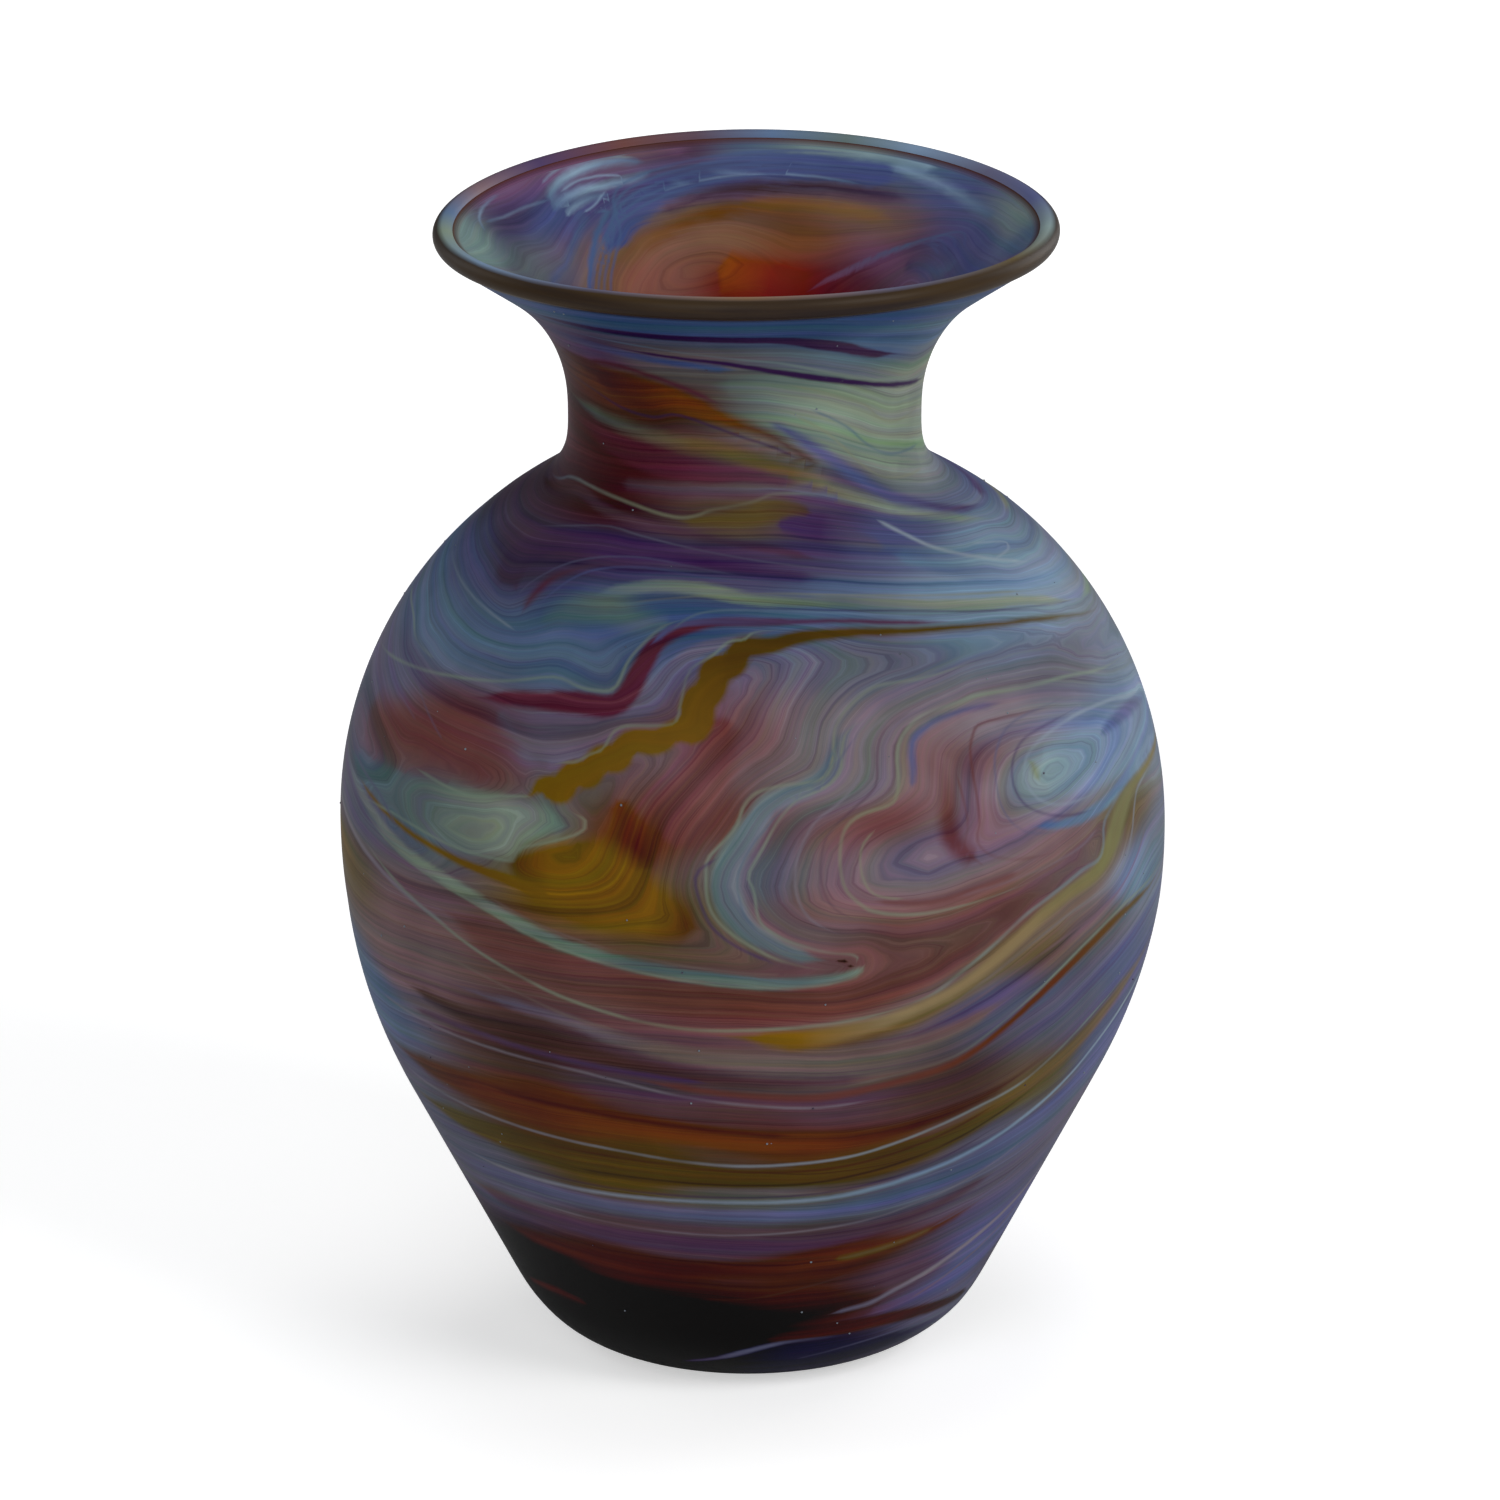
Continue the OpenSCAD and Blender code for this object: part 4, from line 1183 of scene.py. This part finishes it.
    link(colour, scaled.inputs[0])
    link(shade, scaled.inputs["Scale"])
    deeper = add("ShaderNodeVectorMath", operation="SUBTRACT")
    link(scaled.outputs[0], deeper.inputs[0])
    deeper.inputs[1].default_value = (0.022, 0.021, 0.019)
    final = add("ShaderNodeVectorMath", operation="MAXIMUM")
    link(deeper.outputs[0], final.inputs[0])
    final.inputs[1].default_value = (0.0015, 0.001, 0.001)

    grain = noise(place, 11.0, 2600.0, 2.0)
    out = add("NodeGroupOutput")
    link(final.outputs[0], out.inputs["Color"])
    link(grain, out.inputs["Grain"])
    return group


drawn_glass = drawn_glass_group()


def frosted_glass(name, roughness, specular, settings, painted_glow=0.0):
    """Cased glass seen against a dark inside: the drawn colours under a satin or glossy skin."""
    glass = bpy.data.materials.new(name)
    glass.use_nodes = True
    tree = glass.node_tree
    bsdf = tree.nodes["Principled BSDF"]
    drawn = tree.nodes.new("ShaderNodeGroup")
    drawn.node_tree = drawn_glass
    for label, value in settings.items():
        drawn.inputs[label].default_value = value
    tree.links.new(drawn.outputs["Color"], bsdf.inputs["Base Color"])
    satin = tree.nodes.new("ShaderNodeMapRange")
    satin.inputs["To Min"].default_value = roughness - 0.05
    satin.inputs["To Max"].default_value = roughness + 0.05
    tree.links.new(drawn.outputs["Grain"], satin.inputs["Value"])
    tree.links.new(satin.outputs["Result"], bsdf.inputs["Roughness"])
    bump = tree.nodes.new("ShaderNodeBump")
    bump.inputs["Strength"].default_value = 0.12
    bump.inputs["Distance"].default_value = 0.1 * MM
    tree.links.new(drawn.outputs["Grain"], bump.inputs["Height"])
    tree.links.new(bump.outputs["Normal"], bsdf.inputs["Normal"])
    bsdf.inputs["Specular IOR Level"].default_value = specular
    # Painted glow: the attribute read here is laid on as emission, light from a part that is no
    # lamp.
    if painted_glow:
        lit = tree.nodes.new("ShaderNodeAttribute")
        lit.attribute_name = "painted_glow"
        tree.links.new(lit.outputs["Color"], bsdf.inputs["Emission Color"])
        bsdf.inputs["Emission Strength"].default_value = painted_glow
    return glass


marbled_glass = frosted_glass("marbled_glass", 0.5, 0.08,
                              {"Fine lines": 0.6, "Feathering": 0.45, "Brightness": 1.7})
paint.store()
leaned(overlay.data)
overlay.data.materials.clear()
overlay.data.materials.append(marbled_glass)
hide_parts("marbled_overlay")
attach(overlay, "root")


# ---------------------------------------------------------------------------
# Inner gather: the amber glass blown first, cased by the overlay and left glossy
# inside. It shows through the mouth. The warm light that would come through the wall at
# the back of the throat is painted on, as an orange-red pool in its colour and a painted
# glow in its emission.
# ---------------------------------------------------------------------------
COLOURS.update({
    "cloud": (0.46, 0.54, 0.62), "cobalt": (0.25, 0.28, 0.44), "seaglass": (0.40, 0.46, 0.46),
    "orchid": (0.38, 0.27, 0.38), "amber": (0.46, 0.26, 0.05), "ember": (0.35, 0.06, 0.005),
    "tobacco": (0.41, 0.32, 0.24), "blush": (0.44, 0.28, 0.24), "honey": (0.37, 0.24, 0.11),
})


def is_gather_inside(slope, up, height):
    """Faces of the inner gather that look into the hollow, its floor among them."""
    if height > LIP_SEAT:
        return up > 0.3 and slope < 0.02
    return slope < -0.02 or (up > 0.9 and height > 9 * MM)


GATHER_STEP = 1.6 * MM
gather_inside = even_rings(side_outline("inner_gather", is_gather_inside), GATHER_STEP, 1)
gather_inside[0] = (0, gather_inside[1, 1])
gather_joint = even_rings(side_outline("inner_gather", lambda *face: not is_gather_inside(*face)),
                          7 * MM)
gather = turned_piece("gather", np.vstack([gather_joint, gather_inside[::-1]]),
                      np.concatenate([-run_of(gather_joint), run_of(gather_inside)[::-1]]), None,
                      320)
paint = GlassPaint(gather.data, gather_inside, 1)
paint.ground([
    ("seaglass", 270, 197), ("sea", 262, 189), ("slate", 250, 186), ("orchid", 238, 199),
    ("violet", 246, 195), ("cobalt", 232, 193), ("orchid", 215, 199), ("indigo", 215, 192),
    ("mauve", 205, 198.5), ("wine", 192, 197.5), ("cobalt", 195, 194.5), ("steel", 180, 197),
    ("seaglass", 165, 199), ("seaglass", 155, 198.5), ("cobalt", 170, 194.5), ("steel", 145, 197),
    ("cobalt", 130, 195.5), ("violet", 180, 192.5), ("violet", 150, 193), ("tobacco", 215, 186),
    ("tobacco", 195, 189), ("honey", 170, 190.5), ("tobacco", 150, 191), ("tobacco", 135, 190),
    # The ember marks here and lower down are painted glow: light coming through the wall of the
    # throat, laid on as colour.
    ("tobacco", 184, 186.5), ("honey", 162, 187), ("ember", 175, 180), ("ember", 160, 179),
    ("blush", 215, 182), ("tobacco", 228, 182), ("wine", 146, 182), ("orchid", 133, 186),
    ("violet", 125, 189), ("cobalt", 115, 190), ("indigo", 105, 193), ("seaglass", 100, 197),
    ("steel", 88, 197), ("cobalt", 80, 190), ("indigo", 95, 182), ("violet", 270, 182),
    ("orchid", 60, 195), ("steel", 30, 196), ("cobalt", 0, 194), ("violet", -30, 196),
    ("sea", -55, 196), ("seaglass", -75, 196), ("tobacco", 40, 184), ("wine", 0, 182),
    ("tobacco", -45, 184), ("ember", 180, 165), ("honey", 90, 165), ("honey", 0, 165),
    ("honey", -90, 165), ("honey", 0, 120), ("honey", 120, 120), ("honey", -120, 120),
    ("umber", 0, 60), ("umber", 120, 60), ("umber", -120, 60), ("umber", 0, 15)])
paint.pool("orchid mauve orchid", [(250, 199), (228, 199), (205, 199), (190, 198)], 1.4, 2.4)
paint.pool("cobalt indigo cobalt", [
    (226, 186), (213, 190.5), (198, 193.5), (181, 195.5), (160, 196), (140, 196)], 2.6, 1.2)
# Painted glow: this amber to red pool at the back of the throat stands in for light coming through
# the wall.
paint.pool("amber ember wine", [(190, 182), (175, 180), (160, 180), (146, 180)], 3, 2)
paint.pool("tobacco honey tobacco", [
    (228, 184), (206, 187.5), (186, 190), (160, 191), (135, 190.5)], 1.4, 1.5)
paint.streak("band", "violet brown violet", [
    (206, 190, 0.1), (186, 192.3, 0.8), (160, 193.5, 0.8), (136, 193.5, 0.1)], soft=1.6)
paint.streak("band", "cobalt steel", [
    (262, 186, 0.3), (243, 187.5, 0.4), (232, 190, 0.7), (222, 193, 0.9)], soft=1.4)
paint.streak("line", "cobalt steel", [
    (246, 178, 0.4), (238, 183, 0.5), (232, 186, 0.7), (224, 189.5, 0.6),
    (214, 192.5, 0.4)], soft=0.6)
paint.streak("line", "steel cloud steel", [
    (231, 194, 0.2), (227, 196, 0.7), (219, 197.3, 0.8), (209, 197.6, 0.7),
    (201, 196.8, 0.2)], soft=1.1)
paint.streak("line", "steel cloud steel", [
    (233, 193.5, 0.2), (226, 194.6, 0.6), (217, 195, 0.7), (207, 195, 0.5),
    (200, 196, 0.1)], soft=1.1)
paint.streak("line", "cloud steel", [
    (230, 192.6, 0.1), (222, 193.7, 0.5), (213, 193.8, 0.2)], soft=0.9)
paint.thread("cloud seaglass", [(229, 197), (222, 198.2), (212, 198.4), (203, 197.6)], 0.3)
paint.thread("cloud", [(226, 195.4), (220, 196.2), (213, 196.2), (208, 195.6)], 0.3)
paint.thread("cloud", [(224, 192.4), (219, 193), (214, 194.4)], 0.25)
paint.thread("steel cloud steel", [(256, 196.5), (247, 195.6), (238, 195.4), (229, 195)], 0.4)
paint.thread("steel cloud steel", [(260, 195.6), (256, 197), (250, 197.7), (240, 198)], 0.35)
for rise in range(5):
    paint.thread("cobalt steel cobalt", [
        (250 - 4 * rise, 176), (240 - 3 * rise, 182.5), (229 - 3 * rise, 187 + 0.4 * rise),
        (212, 190.8 + 0.8 * rise), (196, 193 + 0.8 * rise), (175, 194.6 + 0.7 * rise),
        (150, 195.6 + 0.6 * rise)], 0.35)
paint.thread("steel cloud steel", [
    (205, 192.6), (190, 194), (178, 194.6), (165, 194.6), (150, 194.3)], 0.3)
paint.streak("line", "seaglass cloud", [
    (172, 199, 0.6), (160, 198.6, 1.4), (148, 198.6, 1.2), (136, 198, 0.5)], soft=2.2)
paint.streak("line", "cloud steel", [
    (150, 197.2, 0.3), (135, 196.5, 0.5), (122, 195.8, 0.7), (108, 195.5, 0.4)], soft=1.6)
for rise in range(4):
    paint.thread("orchid steel cobalt", [
        (160 - 4 * rise, 178 + rise), (140 - 4 * rise, 185 + rise), (124 - 3 * rise, 189.5 + rise),
        (112 - 2 * rise, 189 + 0.8 * rise)], 0.35)
paint.pool("violet cobalt steel", [(126, 186, 0.3), (112, 187, 1), (100, 189, 0.6)], soft=2)
for turn in range(0, 360, 24):
    paint.thread("umber", [
        (turn, 172), (turn + 30, 168), (turn + 75, 164), (turn + 120, 156)], 0.3)
paint.flow(run_of(gather_inside)[-1] / MM)
paint.store()
# Painted glow: on the far wall of the throat, round 169 degrees and below 187 mm, an emission in
# amber turning to red lower down stands in for light coming through the wall.
off_centre = (paint.turn - 169 + 180) % 360 - 180
painted_glow_weight = np.exp(-(off_centre / 24) ** 2) * np.clip((187 - paint.up) / 6, 0, 1)
painted_glow_weight[(paint.up < 150) | paint.hidden] = 0
redness = np.clip((186 - paint.up) / 8, 0, 1)[:, None]
lit = (1 - redness) * colour_of("amber") + redness * colour_of("ember")
painted_glow = gather.data.attributes.new("painted_glow", "FLOAT_COLOR", "POINT")
painted_glow.data.foreach_set("color", np.column_stack([lit * painted_glow_weight[:, None], np.ones(len(lit))])
                      .astype(np.float32).ravel())
amber_glass = frosted_glass("amber_glass", 0.42, 0.07,
                            {"Fine lines": 0.45, "Feathering": 1.2, "Brightness": 1.55}, 0.3)
leaned(gather.data)
gather.data.materials.clear()
gather.data.materials.append(amber_glass)
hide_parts("inner_gather")
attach(gather, "root")


# ---------------------------------------------------------------------------
# Lip thread: a dark trail of glass laid round the mouth and fused to the cut edge
# of both gathers, where its seat is as wide as the wall.
# ---------------------------------------------------------------------------
lip_rings = side_outline("lip_wrap", lambda *face: True)
lip_middle = lip_rings.mean(axis=0)
lip_turns = np.arctan2(*(lip_rings - lip_middle).T)
lip_rings = lip_rings[np.argsort(lip_turns)]
lip_outline = np.vstack([lip_rings, lip_rings[:1]])
lip_thread = turned_piece("lip_thread", lip_outline, run_of(lip_outline), None, 288)

# The inside colours run out over the top of the thread. Its outer side is dark, from about
# where it turns over the rim, and the noise of its material makes that edge ragged.
lip_place = coords(lip_thread.data)
lip_turn = np.degrees(np.arctan2(lip_place[:, 0], -lip_place[:, 1])) % 360
rim_tones = (
    (0, "tobacco"), (30, "slate"), (60, "bronze"), (85, "seaglass"), (105, "indigo"),
    (125, "slate"), (145, "sky"), (160, "sea"), (175, "steel"), (190, "plum"), (205, "brick"),
    (225, "violet"), (245, "mauve"), (262, "steel"), (275, "sage"), (300, "sky"),
    (330, "slate"), (360, "tobacco"))
rim_colours = 2.1 * np.array([colour_of(name) for _, name in rim_tones])
lip_inner = np.column_stack([np.interp(lip_turn, [turn for turn, _ in rim_tones], rim_colours[:, k])
                             for k in range(3)])
lip_out = (np.hypot(lip_place[:, 0], lip_place[:, 1]) - lip_middle[0]) * 0.8
lip_out -= np.maximum(lip_place[:, 2] - lip_middle[1], 0) * 0.3
lip_dark = np.clip(0.9 + lip_out / (0.9 * MM), -0.6, 1.4)
lip_attribute = lip_thread.data.attributes.new("rim", "FLOAT_COLOR", "POINT")
lip_attribute.data.foreach_set("color", np.column_stack([lip_inner, lip_dark])
                               .astype(np.float32).ravel())
leaned(lip_thread.data)

dark_lip = bpy.data.materials.new("dark_lip_glass")
dark_lip.use_nodes = True
lip_tree = dark_lip.node_tree
lip_bsdf = lip_tree.nodes["Principled BSDF"]
lip_where = lip_tree.nodes.new("ShaderNodeTexCoord")
lip_stretch = lip_tree.nodes.new("ShaderNodeMapping")
lip_stretch.inputs["Scale"].default_value = (16, 16, 420)
lip_tree.links.new(lip_where.outputs["Object"], lip_stretch.inputs["Vector"])
lip_noise = lip_tree.nodes.new("ShaderNodeTexNoise")
lip_noise.inputs["Scale"].default_value = 1
lip_noise.inputs["Detail"].default_value = 5
lip_tree.links.new(lip_stretch.outputs["Vector"], lip_noise.inputs["Vector"])
lip_tones = lip_tree.nodes.new("ShaderNodeValToRGB")
lip_tones.color_ramp.elements[0].position = 0.36
lip_tones.color_ramp.elements[0].color = (0.022, 0.0135, 0.011, 1)
lip_tones.color_ramp.elements[1].position = 0.6
lip_tones.color_ramp.elements[1].color = (0.047, 0.028, 0.012, 1)
lip_painted = lip_tree.nodes.new("ShaderNodeAttribute")
lip_painted.attribute_name = "rim"
lip_stray = lip_tree.nodes.new("ShaderNodeMath")
lip_stray.operation = "MULTIPLY_ADD"
lip_stray.inputs[1].default_value = 1.2
lip_stray.inputs[2].default_value = -0.6
lip_where_dark = lip_tree.nodes.new("ShaderNodeMath")
lip_where_dark.operation = "ADD"
lip_where_dark.use_clamp = True
lip_mix = lip_tree.nodes.new("ShaderNodeMix")
lip_mix.data_type = "RGBA"
lip_tree.links.new(lip_noise.outputs["Fac"], lip_tones.inputs["Fac"])
lip_tree.links.new(lip_noise.outputs["Fac"], lip_stray.inputs[0])
lip_tree.links.new(lip_stray.outputs[0], lip_where_dark.inputs[0])
lip_tree.links.new(lip_painted.outputs["Alpha"], lip_where_dark.inputs[1])
lip_tree.links.new(lip_where_dark.outputs[0], lip_mix.inputs["Factor"])
lip_tree.links.new(lip_painted.outputs["Color"], lip_mix.inputs["A"])
lip_tree.links.new(lip_tones.outputs["Color"], lip_mix.inputs["B"])
lip_tree.links.new(lip_mix.outputs["Result"], lip_bsdf.inputs["Base Color"])
lip_bsdf.inputs["Roughness"].default_value = 0.42
lip_bsdf.inputs["Specular IOR Level"].default_value = 0.1
lip_thread.data.materials.clear()
lip_thread.data.materials.append(dark_lip)
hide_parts("lip_wrap")
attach(lip_thread, "root")


# ---------------------------------------------------------------------------
# Punty mark: the button of glass that the iron held the vase by, snapped off and
# left rough in the hollow of the foot.
# ---------------------------------------------------------------------------
button_rings = side_outline("pontil_button", lambda *face: True)
button_wide = button_rings[:, 0].max()
button_low, button_high = button_rings[:, 1].min(), button_rings[:, 1].max()
button_outline = even_rings(np.array([
    (0, button_low), (button_wide - 0.6 * MM, button_low), (button_wide, button_low + 0.6 * MM),
    (button_wide, button_high), (0, button_high)]), 0.4 * MM, 1)
button_outline[0, 0] = button_outline[-1, 0] = 0
punty_mark = turned_piece("punty_mark", button_outline, run_of(button_outline), None, 96)
button_place = coords(punty_mark.data)
button_chips = np.random.default_rng(7)
for _ in range(26):
    chip = button_chips.uniform(-1, 1, 2) * button_wide
    size = button_chips.uniform(0.8, 2.2) * MM
    near_chip = np.exp(-((button_place[:, :2] - chip) ** 2).sum(axis=1) / size ** 2)
    near_chip *= button_place[:, 2] < button_high - 0.5 * MM
    button_place[:, 2] += near_chip * button_chips.uniform(0.05, 0.3) * MM
button_place[:, 2] = np.minimum(button_place[:, 2], button_high)
punty_mark.data.vertices.foreach_set("co", button_place.ravel())
punty_mark.data.update()

punty_glass = bpy.data.materials.new("punty_glass")
punty_glass.use_nodes = True
punty_tree = punty_glass.node_tree
punty_bsdf = punty_tree.nodes["Principled BSDF"]
punty_place = punty_tree.nodes.new("ShaderNodeTexCoord")
punty_noise = punty_tree.nodes.new("ShaderNodeTexNoise")
punty_noise.inputs["Scale"].default_value = 420
punty_noise.inputs["Detail"].default_value = 4
punty_tree.links.new(punty_place.outputs["Object"], punty_noise.inputs["Vector"])
punty_tones = punty_tree.nodes.new("ShaderNodeValToRGB")
punty_tones.color_ramp.elements[0].color = (*colour_of("night"), 1)
punty_tones.color_ramp.elements[1].color = (*colour_of("slate"), 1)
punty_tree.links.new(punty_noise.outputs["Fac"], punty_tones.inputs["Fac"])
punty_tree.links.new(punty_tones.outputs["Color"], punty_bsdf.inputs["Base Color"])
punty_bump = punty_tree.nodes.new("ShaderNodeBump")
punty_bump.inputs["Strength"].default_value = 0.5
punty_bump.inputs["Distance"].default_value = 0.2 * MM
punty_tree.links.new(punty_noise.outputs["Fac"], punty_bump.inputs["Height"])
punty_tree.links.new(punty_bump.outputs["Normal"], punty_bsdf.inputs["Normal"])
punty_bsdf.inputs["Roughness"].default_value = 0.3
punty_mark.data.materials.clear()
punty_mark.data.materials.append(punty_glass)
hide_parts("pontil_button")
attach(punty_mark, "root")


# ---------------------------------------------------------------------------
# Seeds: the tiny bubbles and specks left in hand-worked glass, standing a hair
# proud of the frosted face of the overlay.
# ---------------------------------------------------------------------------
scatter = bpy.data.node_groups.new("scattered_seeds", "GeometryNodeTree")
scatter.interface.new_socket("Geometry", in_out="INPUT", socket_type="NodeSocketGeometry")
for label, kind in (("Per square metre", "Float"), ("Least radius", "Float"),
                    ("Most radius", "Float"), ("Glass", "Material")):
    scatter.interface.new_socket(label, in_out="INPUT", socket_type="NodeSocket" + kind)
scatter.interface.new_socket("Geometry", in_out="OUTPUT", socket_type="NodeSocketGeometry")
seed_given = scatter.nodes.new("NodeGroupInput").outputs
seed_points = scatter.nodes.new("GeometryNodeDistributePointsOnFaces")
seed_points.inputs["Seed"].default_value = 5
seed_ball = scatter.nodes.new("GeometryNodeMeshIcoSphere")
seed_ball.inputs["Radius"].default_value = 1
seed_ball.inputs["Subdivisions"].default_value = 1
seed_size = scatter.nodes.new("FunctionNodeRandomValue")
seed_size.inputs["Seed"].default_value = 9
seed_place = scatter.nodes.new("GeometryNodeInstanceOnPoints")
seed_real = scatter.nodes.new("GeometryNodeRealizeInstances")
seed_paint = scatter.nodes.new("GeometryNodeSetMaterial")
seed_out = scatter.nodes.new("NodeGroupOutput")
for source, target in (
        (seed_given["Geometry"], seed_points.inputs["Mesh"]),
        (seed_given["Per square metre"], seed_points.inputs["Density"]),
        (seed_given["Least radius"], seed_size.inputs[2]),
        (seed_given["Most radius"], seed_size.inputs[3]),
        (seed_points.outputs["Points"], seed_place.inputs["Points"]),
        (seed_ball.outputs["Mesh"], seed_place.inputs["Instance"]),
        (seed_size.outputs[1], seed_place.inputs["Scale"]),
        (seed_place.outputs["Instances"], seed_real.inputs[0]),
        (seed_real.outputs[0], seed_paint.inputs["Geometry"]),
        (seed_given["Glass"], seed_paint.inputs["Material"]),
        (seed_paint.outputs[0], seed_out.inputs[0])):
    scatter.links.new(source, target)

seed_glass = bpy.data.materials.new("seed_glass")
seed_glass.use_nodes = True
seed_tree = seed_glass.node_tree
seed_bsdf = seed_tree.nodes["Principled BSDF"]
seed_tones = seed_tree.nodes.new("ShaderNodeTexNoise")
seed_tones.inputs["Scale"].default_value = 60
seed_ramp = seed_tree.nodes.new("ShaderNodeValToRGB")
seed_ramp.color_ramp.elements[0].position = 0.4
seed_ramp.color_ramp.elements[0].color = (*colour_of("night"), 1)
seed_ramp.color_ramp.elements[1].position = 0.5
seed_ramp.color_ramp.elements[1].color = (*colour_of("ice"), 1)
seed_where = seed_tree.nodes.new("ShaderNodeTexCoord")
seed_tree.links.new(seed_where.outputs["Object"], seed_tones.inputs["Vector"])
seed_tree.links.new(seed_tones.outputs["Fac"], seed_ramp.inputs["Fac"])
seed_tree.links.new(seed_ramp.outputs["Color"], seed_bsdf.inputs["Base Color"])
seed_bsdf.inputs["Roughness"].default_value = 0.35

outer_skin = overlay.data
skin_place = coords(outer_skin)
skin_run = np.empty(len(skin_place))
outer_skin.attributes["run"].data.foreach_get("value", skin_run)
SEEDS_START = 20 * MM  # along the outline from the middle of the foot
shown_faces = [tuple(face.vertices) for face in outer_skin.polygons
               if min(skin_run[v] for v in face.vertices) >= SEEDS_START]
bare = bpy.data.meshes.new("outer_skin")
bare.from_pydata(skin_place.tolist(), [], shown_faces)
seeds = evaluated_piece("seeds", scatter, {"Per square metre": 2400.0, "Least radius": 0.1 * MM,
                                           "Most radius": 0.24 * MM, "Glass": seed_glass}, bare)
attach(seeds, "root")
